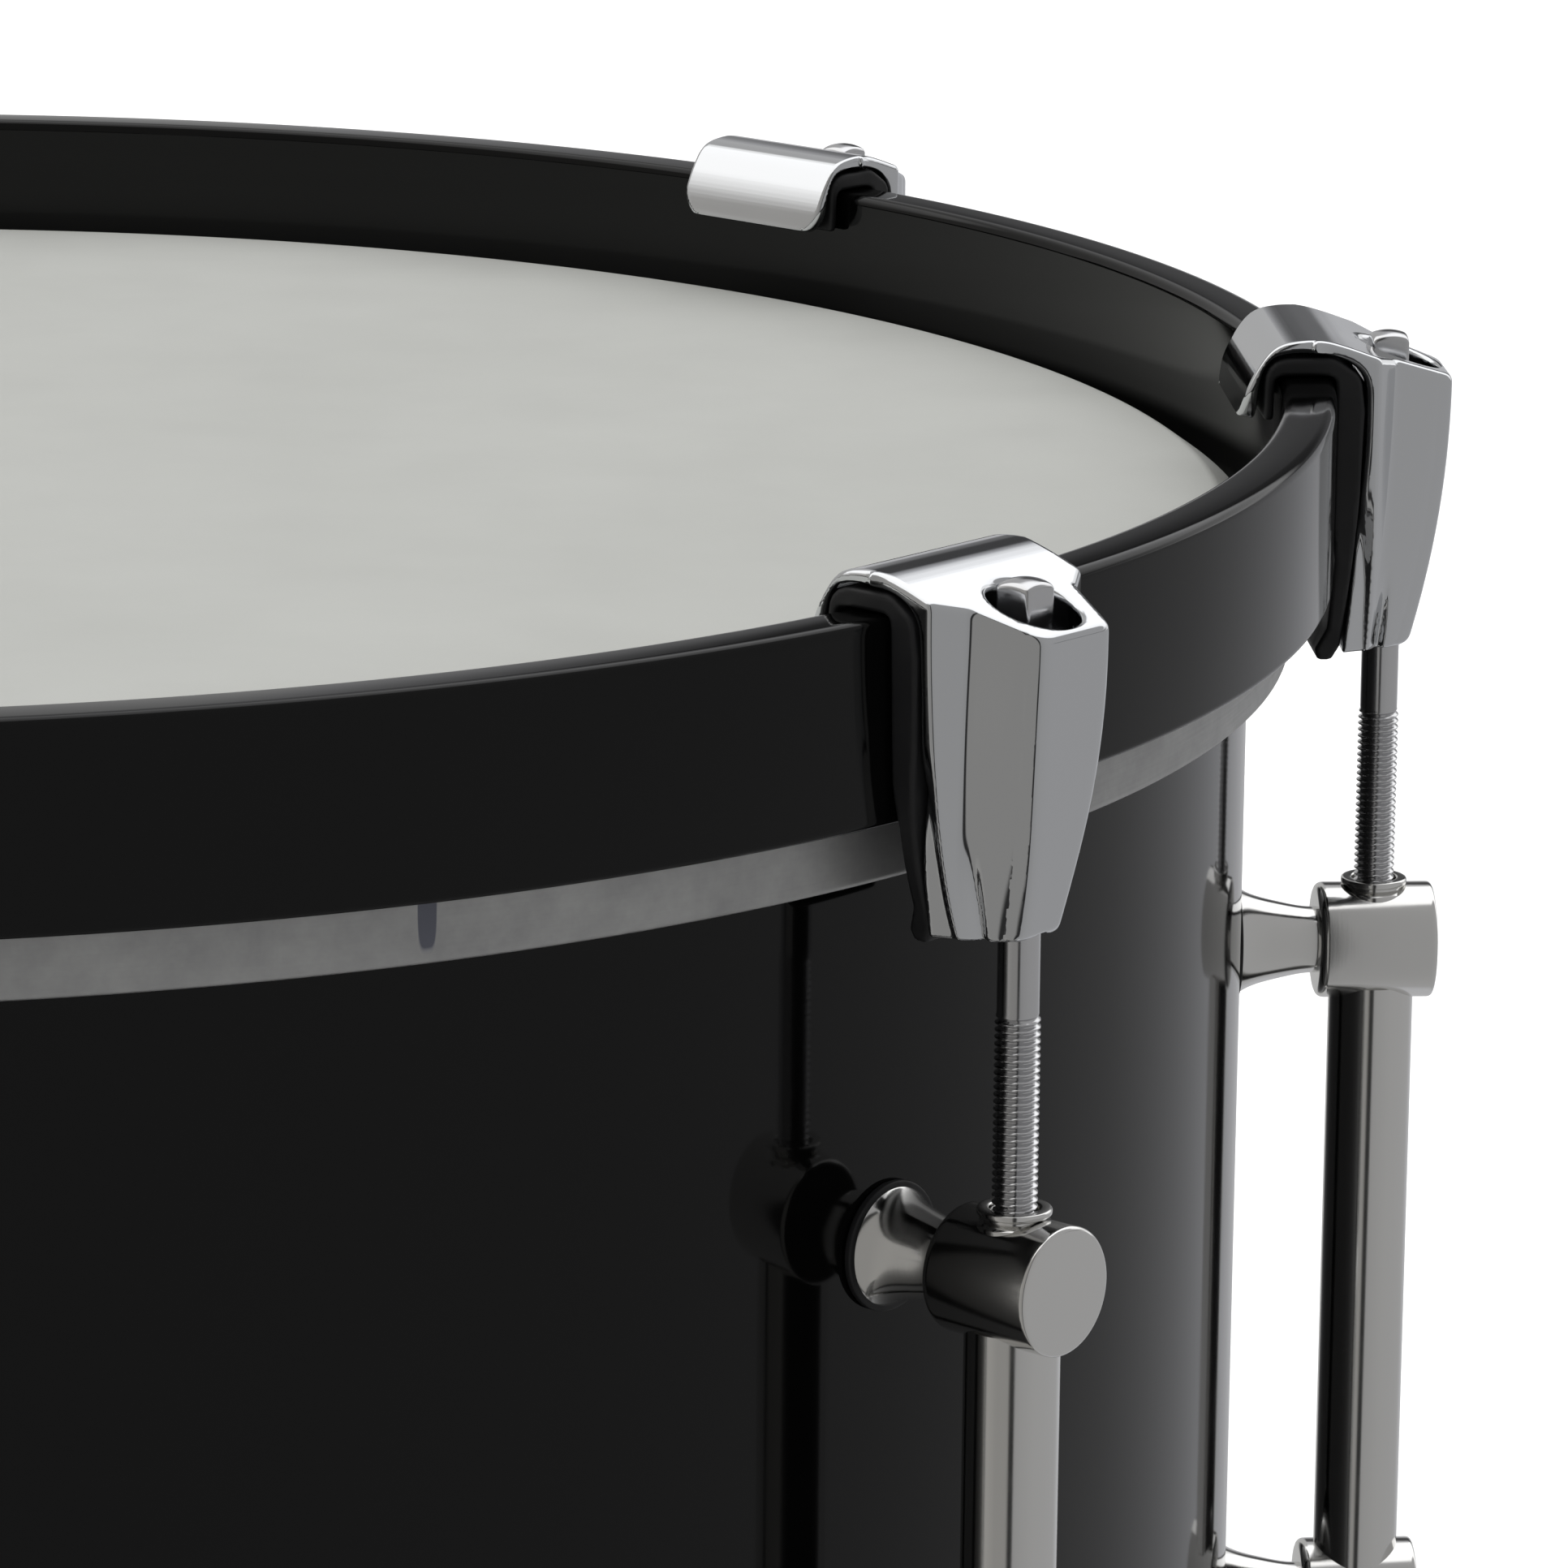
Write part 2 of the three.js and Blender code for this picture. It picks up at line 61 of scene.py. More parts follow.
# Shell, heads and hoops. HEAD_PLANE and HOOP_TOP are heights above the drum's middle.
SHELL_RADIUS = 177.8
SHELL_WALL = 6.4
SHELL_HALF = 101.6
EDGE_RADIUS = 174.7
HEAD_PLANE = 102.2
FILM = 0.3
HOOP_TOP = 116.0
HOOP_RADIUS = 187.8
HOOP_WALL = 6.6
HOOP_HEIGHT = 21.8
HOOP_CROWN = 0.6  # the hoop's edge is this much above HOOP_TOP
HOOP_SINK = 0.25  # and its other edge this much below HOOP_TOP - HOOP_HEIGHT
FLESH_RADIUS = 182.8
FLESH_HEIGHT = 7.5
VENT_AZIMUTH = 247.5
PATCH = 4  # grid cells from the vent's centre to the edge of the patch round it

# Claws and rods. WELL_FLOOR, KEY_TOP and ROD_REACH are measured from HOOP_TOP.
CLAW_RISE = 5.1
MIDDLE = HOOP_TOP + CLAW_RISE  # the drum stands on the snare side's claws
WELL_CENTRE = 196.7
WELL_RADIUS = 5.0
WELL_FLOOR = -7.2
ROD_CIRCLE = 195.6
ROD_REACH = 92.0
KEY_HALF = 2.25
KEY_TOP = 4.2

# Lugs
BARREL_LEVEL = 43.1
BARREL_RADIUS = 7.2
BARREL_INNER = 188.4
BARREL_OUTER = 203.2
TUBE_RADIUS = 5.25

# Snares, strainer and butt
STRAINER_AZIMUTH = 337.5
BUTT_AZIMUTH = 157.5
WIRES_LEVEL = -103.7
WIRE_COUNT = 20
WIRE_HALF = 152.0
WIRE_SPACING = 2.15
STRAP_RADIAL = 191.0
STRAP_TOP = -63.7
HOLDER_HALF_WIDTH = 18.4
HOLDER_BOTTOM = -84.0
PLATE_FRONT = 181.8
CHEEK_INNER = 15.1
CHEEK_FRONT = 199.0
PIVOT_RADIAL = 192.0
PIVOT_HEIGHT = -30.0
SLIDER_TOP = -58.0
SLIDER_BOTTOM = -76.0
SLIDER_MIDDLE = (SLIDER_TOP + SLIDER_BOTTOM) / 2
SLIDER_FRONT = 200.4
SLIDER_RECESS = 199.6

# ---------------------------------------------------------------- outlines and fields


def eased(points, steps=5, closed=True):
    """An outline whose corners [u, v, radius] are rounded."""
    made, count = [], len(points)
    for i, point in enumerate(points):
        here = np.array(point[:2], float)
        radius = point[2] if len(point) > 2 else 0
        if not radius or (not closed and i in (0, count - 1)):
            made.append(tuple(here))
            continue
        before = np.array(points[i - 1][:2], float) - here
        after = np.array(points[(i + 1) % count][:2], float) - here
        lengths = np.linalg.norm(before), np.linalg.norm(after)
        before, after = before / lengths[0], after / lengths[1]
        half = math.acos(max(-1, min(1, before @ after))) / 2
        reach = min(radius / math.tan(half), 0.49 * lengths[0], 0.49 * lengths[1])
        for t in np.linspace(0, 1, steps + 1):
            p = here + before * reach * (1 - t) ** 2 + after * reach * t**2
            made.append(tuple(p))
    return made


def spline(points, steps=7):
    """A smooth closed outline through [u, v] points; a point written [u, v, 1] keeps its corner."""
    place = np.array([p[:2] for p in points], float)
    corner = [len(p) > 2 for p in points]
    count, made = len(points), []
    for i in range(count):
        j = (i + 1) % count
        chord = place[j] - place[i]
        length = np.linalg.norm(chord)
        away = chord if corner[i] else place[j] - place[i - 1]
        into = chord if corner[j] else place[(j + 1) % count] - place[i]
        away, into = (v / np.linalg.norm(v) * length for v in (away, into))
        for t in np.arange(steps) / steps:
            made.append(
                (2 * t**3 - 3 * t**2 + 1) * place[i]
                + (t**3 - 2 * t**2 + t) * away
                + (3 * t**2 - 2 * t**3) * place[j]
                + (t**3 - t**2) * into
            )
    return made


def inside(outline):
    """The signed distance to a closed outline, negative inside it."""
    ends = [tuple(p[:2]) for p in outline]

    def distance(u, v):
        u, v = np.broadcast_arrays(u, v)
        nearest, within = np.full(u.shape, 1e9), np.zeros(u.shape, bool)
        for (u0, v0), (u1, v1) in zip(ends, ends[1:] + ends[:1]):
            du, dv = u1 - u0, v1 - v0
            t = np.clip(((u - u0) * du + (v - v0) * dv) / (du * du + dv * dv + 1e-12), 0, 1)
            nearest = np.minimum(nearest, (u - u0 - t * du) ** 2 + (v - v0 - t * dv) ** 2)
            crosses = (v0 <= v) != (v1 <= v)
            within ^= crosses & (u < u0 + (v - v0) * du / (dv if dv else 1e-12))
        return np.where(within, -1, 1) * np.sqrt(nearest)

    return distance


def both(a, b, k):
    """Where two fields overlap, with the edge between them rounded over a width k."""
    h = np.maximum(k - np.abs(a - b), 0) / k
    return np.maximum(a, b) + h * h * k / 4


def either(a, b, k):
    """Two fields joined, with a fillet of width k between them."""
    return -both(-a, -b, k)


def step(t):
    """0 before 0, 1 after 1, and smooth in between."""
    t = np.clip(t, 0, 1)
    return t * t * (3 - 2 * t)


def through(levels, values, degree=4):
    """A smooth curve close to values at levels."""
    return np.poly1d(np.polyfit(levels, values, degree))


# ---------------------------------------------------------------- surfaces: (vertices, faces)


def lathe(profile, sides, closed=False):
    """[radius, height] points turned about Z, up the outside. A radius may be an array, one for each side."""
    turn = np.arange(sides) * 2 * np.pi / sides
    vertices, rows = [], []
    for radius, height in profile:
        if np.ndim(radius) == 0 and radius < 1e-9:
            rows.append([len(vertices)] * sides)
            vertices.append((0.0, 0.0, height))
            continue
        rows.append(list(range(len(vertices), len(vertices) + sides)))
        level = np.full(sides, height, float)
        vertices += np.stack([radius * np.cos(turn), radius * np.sin(turn), level], 1).tolist()
    faces = []
    for a, b in zip(rows, rows[1:] + rows[:1] if closed else rows[1:]):
        for i in range(sides):
            j = (i + 1) % sides
            faces.append(tuple(dict.fromkeys((a[i], a[j], b[j], b[i]))))
    return np.array(vertices), faces


def turned(surface, matrix):
    """A surface turned by a 3x3 matrix."""
    vertices, faces = surface
    return vertices @ np.array(matrix).T, faces


UPRIGHT = Matrix.Identity(3)
OUTWARDS = Matrix.Rotation(math.radians(90), 3, "Y")  # stands Z along X
ACROSS = Matrix.Rotation(math.radians(-90), 3, "X")  # stands Z along Y


def carve(field, low, high, cell):
    """The surface where field(x, y, z) is zero, as (vertices, faces, normals).

    Each grid cell that the surface passes through gets one vertex, at the mean of its edges' crossings. The
    vertices are then pulled onto the surface along the field's slope, which also gives their normals.
    """
    axes = [np.arange(a, b + cell, cell) for a, b in zip(low, high)]
    grid = np.meshgrid(*axes, indexing="ij", sparse=True)
    value = np.broadcast_to(field(*grid), [len(a) for a in axes]) + 1e-7
    solid = value < 0
    size = [n - 1 for n in value.shape]
    total = np.zeros(size, int)
    place, weight = np.zeros(size + [3]), np.zeros(size)

    def shifted(array, offset):
        return array[tuple(slice(o, o + n) for o, n in zip(offset, size))]

    for offset in product((0, 1), repeat=3):
        total += shifted(solid, offset)
        for axis in range(3):
            if offset[axis]:
                continue
            end = tuple(1 if k == axis else o for k, o in enumerate(offset))
            a, b = shifted(value, offset), shifted(value, end)
            crosses = (a < 0) != (b < 0)
            along = np.where(crosses, a / np.where(crosses, a - b, 1), 0)
            for k in range(3):
                place[..., k] += crosses * (offset[k] + (along if k == axis else 0))
            weight += crosses
    live = (total > 0) & (total < 8)
    number = np.full(size, -1)
    number[live] = np.arange(live.sum())
    cells = np.argwhere(live)
    points = (cells + place[live] / weight[live][:, None]) * cell + np.array(low, float)

    faces = []
    for axis in range(3):
        u, v = (axis + 1) % 3, (axis + 2) % 3
        span = [slice(1, n) for n in size]
        span[axis] = slice(0, size[axis])
        ahead = [slice(1, n) for n in size]
        ahead[axis] = slice(1, size[axis] + 1)
        a, b = solid[tuple(span)], solid[tuple(ahead)]
        found = np.argwhere(a != b)
        out = a[a != b]
        base = found + np.array([0 if k == axis else 1 for k in range(3)])
        quad = []
        for du, dv in ((-1, -1), (0, -1), (0, 0), (-1, 0)):
            at = base.copy()
            at[:, u] += du
            at[:, v] += dv
            quad.append(number[tuple(at.T)])
        quad = np.stack(quad, 1)
        quad[~out] = quad[~out][:, ::-1]
        faces += [tuple(q) for q in quad.tolist()]

    def slope(p):
        h = 0.02
        tilt = [(field(*(p + h * axis).T) - field(*(p - h * axis).T)) / (2 * h) for axis in np.eye(3)]
        return field(*p.T), np.stack(tilt, 1)

    for _ in range(2):
        here, tilt = slope(points)
        push = here / np.maximum((tilt**2).sum(1), 0.05)
        points = points - np.clip(push, -cell, cell)[:, None] * tilt
    _, tilt = slope(points)
    normals = tilt / np.maximum(np.linalg.norm(tilt, axis=1), 1e-9)[:, None]
    return points, faces, normals


def mesh(name, surface, material, sharp=38):
    """A Blender mesh of a surface. A carved surface brings its own normals."""
    vertices, faces = surface[:2]
    data = bpy.data.meshes.new(name)
    data.from_pydata((np.asarray(vertices) * MM).tolist(), [], faces)
    data.polygons.foreach_set("use_smooth", [True] * len(data.polygons))
    if len(surface) == 3:
        data.normals_split_custom_set_from_vertices(surface[2].tolist())
    else:
        data.set_sharp_from_angle(angle=math.radians(sharp))
    data.materials.append(material)
    return data


def station(azimuth, side="batter"):
    """The frame at an azimuth, which is counted from -Y, the camera's side, towards +X."""
    place = Matrix.Translation((0, 0, MIDDLE * MM))
    place @= Matrix.Rotation(math.radians(azimuth - 90), 4, "Z")
    return place if side == "batter" else place @ Matrix.Rotation(math.pi, 4, "X")


def piece(name, data, place, body, slot, *nodes, shift=(0, 0, 0), turn=UPRIGHT):
    """One physical piece, shifted and turned in its place: it rides on a body and stands for CAD nodes."""
    made = bpy.data.objects.new(name, data)
    bpy.context.scene.collection.objects.link(made)
    made.matrix_world = place @ Matrix.Translation(Vector(shift) * MM) @ turn.to_4x4()
    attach(made, body)
    if nodes:
        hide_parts(*nodes)
    return made


# ---------------------------------------------------------------- materials


class Finish:
    """A Principled material built from procedural nodes on object coordinates."""

    def __init__(self, name, colour, metallic, roughness, specular=0.5):
        self.material = bpy.data.materials.new(name)
        self.material.use_nodes = True
        self.tree = self.material.node_tree
        self.shader = self.tree.nodes["Principled BSDF"]
        self.shader.inputs["Base Color"].default_value = (*colour, 1)
        self.shader.inputs["Metallic"].default_value = metallic
        self.shader.inputs["Roughness"].default_value = roughness
        self.shader.inputs["Specular IOR Level"].default_value = specular
        self.shader.inputs["Coat Weight"].default_value = 0.0
        self.place = self.add("ShaderNodeTexCoord").outputs["Object"]

    def add(self, kind, **settings):
        node = self.tree.nodes.new(kind)
        for name, value in settings.items():
            setattr(node, name, value)
        return node

    def link(self, source, target):
        self.tree.links.new(source, target)

    def round_the_axis(self, along, up):
        """Coordinates that run round Z and up it, for marks that follow a turned surface."""
        turn = self.add("ShaderNodeTexGradient", gradient_type="RADIAL")
        self.link(self.place, turn.inputs["Vector"])
        height = self.add("ShaderNodeSeparateXYZ")
        self.link(self.place, height.inputs["Vector"])
        both_ways = self.add("ShaderNodeCombineXYZ")
        self.link(turn.outputs["Fac"], both_ways.inputs["X"])
        self.link(height.outputs["Z"], both_ways.inputs["Z"])
        stretched = self.add("ShaderNodeMapping")
        stretched.inputs["Scale"].default_value = (along, 1, up)
        self.link(both_ways.outputs["Vector"], stretched.inputs["Vector"])
        return stretched.outputs["Vector"]

    def noise(self, place, scale, detail, roughness=0.5):
        node = self.add("ShaderNodeTexNoise")
        self.link(place, node.inputs["Vector"])
        node.inputs["Scale"].default_value = scale
        node.inputs["Detail"].default_value = detail
        node.inputs["Roughness"].default_value = roughness
        return node.outputs["Fac"]

    def spread(self, source, low, high, start=0.3, end=0.7):
        """Values that go from low to high as the source goes from start to end."""
        node = self.add("ShaderNodeMapRange")
        self.link(source, node.inputs["Value"])
        for name, value in zip(("From Min", "From Max", "To Min", "To Max"), (start, end, low, high)):
            node.inputs[name].default_value = value
        return node.outputs["Result"]

    def rough(self, source, low, high):
        self.link(self.spread(source, low, high), self.shader.inputs["Roughness"])

    def bump(self, source, distance):
        """Relief whose depth is a distance in millimetres. It is added to the relief before it."""
        node = self.add("ShaderNodeBump")
        node.inputs["Distance"].default_value = distance * MM
        node.inputs["Strength"].default_value = 1.0
        self.link(source, node.inputs["Height"])
        before = self.shader.inputs["Normal"].links
        if before:
            self.link(before[0].from_socket, node.inputs["Normal"])
        self.link(node.outputs["Normal"], self.shader.inputs["Normal"])

    def tint(self, source, first, second):
        """A colour that drifts between two as the source does."""
        ramp = self.add("ShaderNodeValToRGB")
        self.link(source, ramp.inputs["Fac"])
        for point, at, colour in zip(ramp.color_ramp.elements, (0.3, 0.7), (first, second)):
            point.position = at
            point.color = (*colour, 1)
        self.link(ramp.outputs["Color"], self.shader.inputs["Base Color"])
        return ramp.outputs["Color"]


def lacquer(name):
    """Black gloss lacquer with faint hairlines that run round the drum."""
    made = Finish(name, (0.0009, 0.0009, 0.0009), 0, 0.07, 0.25)
    hairlines = made.noise(made.round_the_axis(90, 5200), 1, 3, 0.6)
    made.rough(made.noise(made.place, 35, 3), 0.045, 0.085)
    made.bump(hairlines, 0.0008)
    made.bump(made.noise(made.place, 320, 1), 0.0012)
    return made.material


def film():
    """Coated drumhead film, whose fine grain scatters the light."""
    made = Finish("film_coated", (0.346, 0.35, 0.333), 0, 0.6, 0.35)
    made.tint(made.noise(made.place, 22, 4, 0.6), (0.336, 0.34, 0.323), (0.356, 0.36, 0.343))
    made.rough(made.noise(made.place, 60, 2), 0.52, 0.66)
    made.bump(made.noise(made.place, 2600, 3, 0.7), 0.02)
    return made.material


def pen_tick(made, metal, metallic):
    """A felt-tip tick on the batter ring's outside: a round-ended stroke that comes out below the hoop."""
    azimuth = math.radians(24.2)
    centre = (FLESH_RADIUS * math.sin(azimuth), -FLESH_RADIUS * math.cos(azimuth), HOOP_TOP - HOOP_HEIGHT)
    half_width, depth, half_length = 1.15, 10, 6.85
    stroke = made.add("ShaderNodeMapping", vector_type="TEXTURE")
    stroke.inputs["Location"].default_value = [c * MM for c in centre]
    stroke.inputs["Rotation"].default_value = (0, 0, azimuth)
    stroke.inputs["Scale"].default_value = (half_width * MM, depth * MM, half_length * MM)
    squared = made.add("ShaderNodeVectorMath", operation="MULTIPLY")
    reach = made.add("ShaderNodeVectorMath", operation="LENGTH")
    made.link(made.place, stroke.inputs["Vector"])
    # The length of the squared coordinates is 1 on an ellipse with squared-off sides.
    made.link(stroke.outputs["Vector"], squared.inputs[0])
    made.link(stroke.outputs["Vector"], squared.inputs[1])
    made.link(squared.outputs["Vector"], reach.inputs[0])
    bare = made.spread(reach.outputs["Value"], 0, metallic, 0.8, 1.0)
    made.link(bare, made.shader.inputs["Metallic"])
    mix = made.add("ShaderNodeMix", data_type="RGBA")
    made.link(made.spread(reach.outputs["Value"], 1, 0, 0.8, 1.0), mix.inputs["Factor"])
    made.link(metal, mix.inputs["A"])
    mix.inputs["B"].default_value = (0.052, 0.055, 0.075, 1)
    made.link(mix.outputs["Result"], made.shader.inputs["Base Color"])


def ring_metal(name, tick):
    """Satin aluminium, brushed round the ring."""
    metallic = 0.8
    made = Finish(name, (0.34, 0.34, 0.34), metallic, 0.4)
    brushed = made.noise(made.round_the_axis(60, 3000), 1, 4, 0.7)
    metal = made.tint(made.noise(made.place, 140, 4, 0.7), (0.3, 0.3, 0.3), (0.385, 0.385, 0.38))
    made.rough(brushed, 0.34, 0.5)
    made.bump(brushed, 0.006)
    if tick:
        pen_tick(made, metal, metallic)
    return made.material


def polished(name, colour, low, high):
    """Plated die casting, with the slight waves that buffing leaves."""
    made = Finish(name, colour, 1, low)
    made.rough(made.noise(made.place, 90, 3), low, high)
    made.bump(made.noise(made.place, 260, 2), 0.0015)
    made.bump(made.noise(made.place, 3500, 2), 0.0004)
    return made.material


def turned_metal(name, colour, low, high, lines, depth):
    """Turned and satin-plated metal. The marks run round the axis that the object turns about."""
    made = Finish(name, colour, 1, low)
    marks = made.noise(made.round_the_axis(5, lines), 1, 3, 0.6)
    made.rough(made.noise(made.place, 160, 4, 0.6), low, high)
    made.bump(marks, depth)
    made.bump(made.noise(made.place, 4200, 2), 0.0008)
    return made.material


def rubber():
    """Matt black rubber with a moulded grain."""
    made = Finish("rubber_black", (0.007, 0.007, 0.0075), 0, 0.55, 0.3)
    made.rough(made.noise(made.place, 300, 3), 0.42, 0.62)
    made.bump(made.noise(made.place, 1500, 3, 0.7), 0.01)
    return made.material


shell_black = lacquer("lacquer_shell")
hoop_black = lacquer("lacquer_hoop")
film_coated = film()
batter_ring_metal = ring_metal("aluminium_batter_ring", True)
snare_ring_metal = ring_metal("aluminium_snare_ring", False)
chrome = polished("chrome_claw", (0.66, 0.67, 0.685), 0.05, 0.09)
strainer_chrome = polished("chrome_strainer", (0.7, 0.71, 0.72), 0.06, 0.11)
nickel = turned_metal("nickel_lug", (0.75, 0.745, 0.73), 0.1, 0.15, 2600, 0.0014)
steel = turned_metal("steel_rod", (0.62, 0.62, 0.63), 0.12, 0.2, 1800, 0.001)
wire_steel = turned_metal("steel_wire", (0.6, 0.59, 0.57), 0.2, 0.3, 2500, 0.0005)
black_rubber = rubber()

# ---------------------------------------------------------------- shell, heads and hoops


def shell_surface():
    """The shell on a regular grid, with a round hole for the vent sewn into a patch of it."""
    inner = SHELL_RADIUS - SHELL_WALL
    pitch = 2 * math.pi * SHELL_RADIUS / RING
    levels = [k * pitch for k in range(-PATCH, PATCH + 1)]
    edge = eased([
        (inner, SHELL_HALF - 26, 0),
        (inner, SHELL_HALF - 3.6, 1.5),
        (EDGE_RADIUS, SHELL_HALF, 0.9),
        (EDGE_RADIUS + 1.9, SHELL_HALF - 1.2, 1.6),
        (SHELL_RADIUS, SHELL_HALF - 3.6, 1.5),
        (SHELL_RADIUS, SHELL_HALF - 26, 0),
    ], closed=False)
    outside = [(r, -z) for r, z in edge] + [(SHELL_RADIUS, z) for z in levels]
    first_row = len(edge)
    whole = outside + [(r, z) for r, z in reversed(edge)]
    inside_row = len(whole)
    whole += [(inner, z) for z in reversed(levels)]
    vertices, faces = lathe(whole, RING, closed=True)
    column = round(math.radians(VENT_AZIMUTH - 90) / (2 * math.pi) * RING) - PATCH
    patch = set()
    for row in (first_row, inside_row):
        for j in range(row, row + 2 * PATCH):
            patch |= {j * RING + (i % RING) for i in range(column, column + 2 * PATCH)}
    kept = [face for n, face in enumerate(faces) if n not in patch]

    walk = [(i, 0) for i in range(2 * PATCH)] + [(2 * PATCH, j) for j in range(2 * PATCH)]
    walk += [(2 * PATCH - i, 2 * PATCH) for i in range(2 * PATCH)]
    walk += [(0, 2 * PATCH - j) for j in range(2 * PATCH)]
    middle = 2 * math.pi * (column + PATCH) / RING
    hole, points = 6.5, vertices.tolist()
    rims = []
    for row, radius, flip in ((first_row, SHELL_RADIUS, 1), (inside_row, inner, -1)):
        rim, border = [], []
        for i, j in walk:
            away = math.atan2((j - PATCH), (i - PATCH))
            turn = middle + hole * math.cos(away) / radius
            rim.append(len(points))
            points.append((radius * math.cos(turn), radius * math.sin(turn), hole * math.sin(away)))
            j_row = row + (j if flip > 0 else 2 * PATCH - j)
            border.append(j_row * RING + (column + i) % RING)
        rims.append(rim)
        for k in range(len(walk)):
            n = (k + 1) % len(walk)
            quad = (border[k], border[n], rim[n], rim[k])
            kept.append(quad if flip > 0 else quad[::-1])
    for k in range(len(walk)):
        n = (k + 1) % len(walk)
        kept.append((rims[0][k], rims[0][n], rims[1][n], rims[1][k]))
    used = np.unique([i for face in kept for i in face])
    number = {old: new for new, old in enumerate(used.tolist())}
    return np.array(points)[used], [tuple(number[i] for i in face) for face in kept]


def film_profile():
    """The film: flat, over the bearing edge, and down to where the ring holds it."""
    ring_top = HOOP_TOP - HOOP_HEIGHT - GAP
    upper = eased([
        (0, HEAD_PLANE),
        (EDGE_RADIUS - 0.5, HEAD_PLANE, 2.2),
        (SHELL_RADIUS + 0.9, HEAD_PLANE - 3.2, 2.4),
        (SHELL_RADIUS + 1.5, ring_top - 2, 0),
    ], closed=False)
    flat = [(r, HEAD_PLANE) for r in (150, 110, 60, 20)]
    lower = [(max(r - 0.25, 0), z - FILM) for r, z in upper]
    under = [(r, z - FILM) for r, z in reversed(flat)]
    return [lower[0]] + under + lower[1:] + list(reversed(upper))[:-1] + flat + [upper[0]]


def ring_profile():
    """The metal ring that the film is bonded into."""
    top = HOOP_TOP - HOOP_HEIGHT - HOOP_SINK - GAP
    bottom = top - FLESH_HEIGHT
    inner = SHELL_RADIUS + 1.2
    return eased([
        (inner, bottom, 0.7),
        (FLESH_RADIUS, bottom, 0.9),
        (FLESH_RADIUS, top, 0.9),
        (inner, top, 0.5),
    ])


def hoop_profile(top):
    """The wood hoop's section up to an edge at a height."""
    inner = HOOP_RADIUS - HOOP_WALL
    bottom = HOOP_TOP - HOOP_HEIGHT - HOOP_SINK
    return eased([
        (inner, bottom, 0.8), (HOOP_RADIUS, bottom, 0.8), (HOOP_RADIUS, top, 1.4), (inner, top, 1.4),
    ], steps=6)


def gated_hoop():
    """The snare side's hoop, whose edge dips at both straps. Its columns are close at the dips."""
    near = np.arange(-42, 42.01, 0.6) / HOOP_RADIUS
    far = np.linspace(near[-1], math.pi - near[-1], 150)[1:-1]
    turns = np.concatenate([near, far, near + math.pi, far + math.pi])
    depth, wall_start, wall_end = 15.0, 27.5, 34.5
    rows = []
    for turn in turns:
        across = HOOP_RADIUS * abs(math.remainder(turn, math.pi))
        top = HOOP_TOP + HOOP_CROWN - depth * (1 - step((across - wall_start) / (wall_end - wall_start)))
        profile = np.array(hoop_profile(top))
        rows.append(np.stack([
            profile[:, 0] * math.cos(turn), profile[:, 0] * math.sin(turn), profile[:, 1]
        ], 1))
    wide, count = len(rows[0]), len(rows)
    faces = []
    for i in range(count):
        n = (i + 1) % count
        for j in range(wide):
            k = (j + 1) % wide
            faces.append((i * wide + j, n * wide + j, n * wide + k, i * wide + k))
    return np.concatenate(rows), faces


upright, turned_over = station(90), station(90, "snare")
piece("shell", mesh("shell", shell_surface(), shell_black), upright, "root", "shell_lacquer", "shell")
hoop_mesh = mesh("batter_hoop", lathe(hoop_profile(HOOP_TOP + HOOP_CROWN), RING, closed=True), hoop_black)
gates_turn = Matrix.Rotation(math.radians(90 - BUTT_AZIMUTH), 3, "Z")
gated_mesh = mesh("snare_hoop", turned(gated_hoop(), gates_turn), hoop_black)
piece("batter_hoop", hoop_mesh, upright, "root", "hoop_lacquer", "batter_hoop")
piece("snare_hoop", gated_mesh, turned_over, "root", "hoop_lacquer", "snare_hoop")
film_mesh = mesh("film", lathe(film_profile(), RING), film_coated)
for side, place, metal in (
    ("batter", upright, batter_ring_metal),
    ("snare", turned_over, snare_ring_metal),
):
    node = f"{side}_head"
    ring = mesh(f"{side}_flesh_ring", lathe(ring_profile(), RING, closed=True), metal)
    piece(f"{side}_film", film_mesh, place, "root", "drumhead_film", node)
    piece(f"{side}_flesh_ring", ring, place, "root", "flesh_ring_aluminium", node)

# ---------------------------------------------------------------- claws, pads and rods
# Heights in this section are measured from HOOP_TOP.


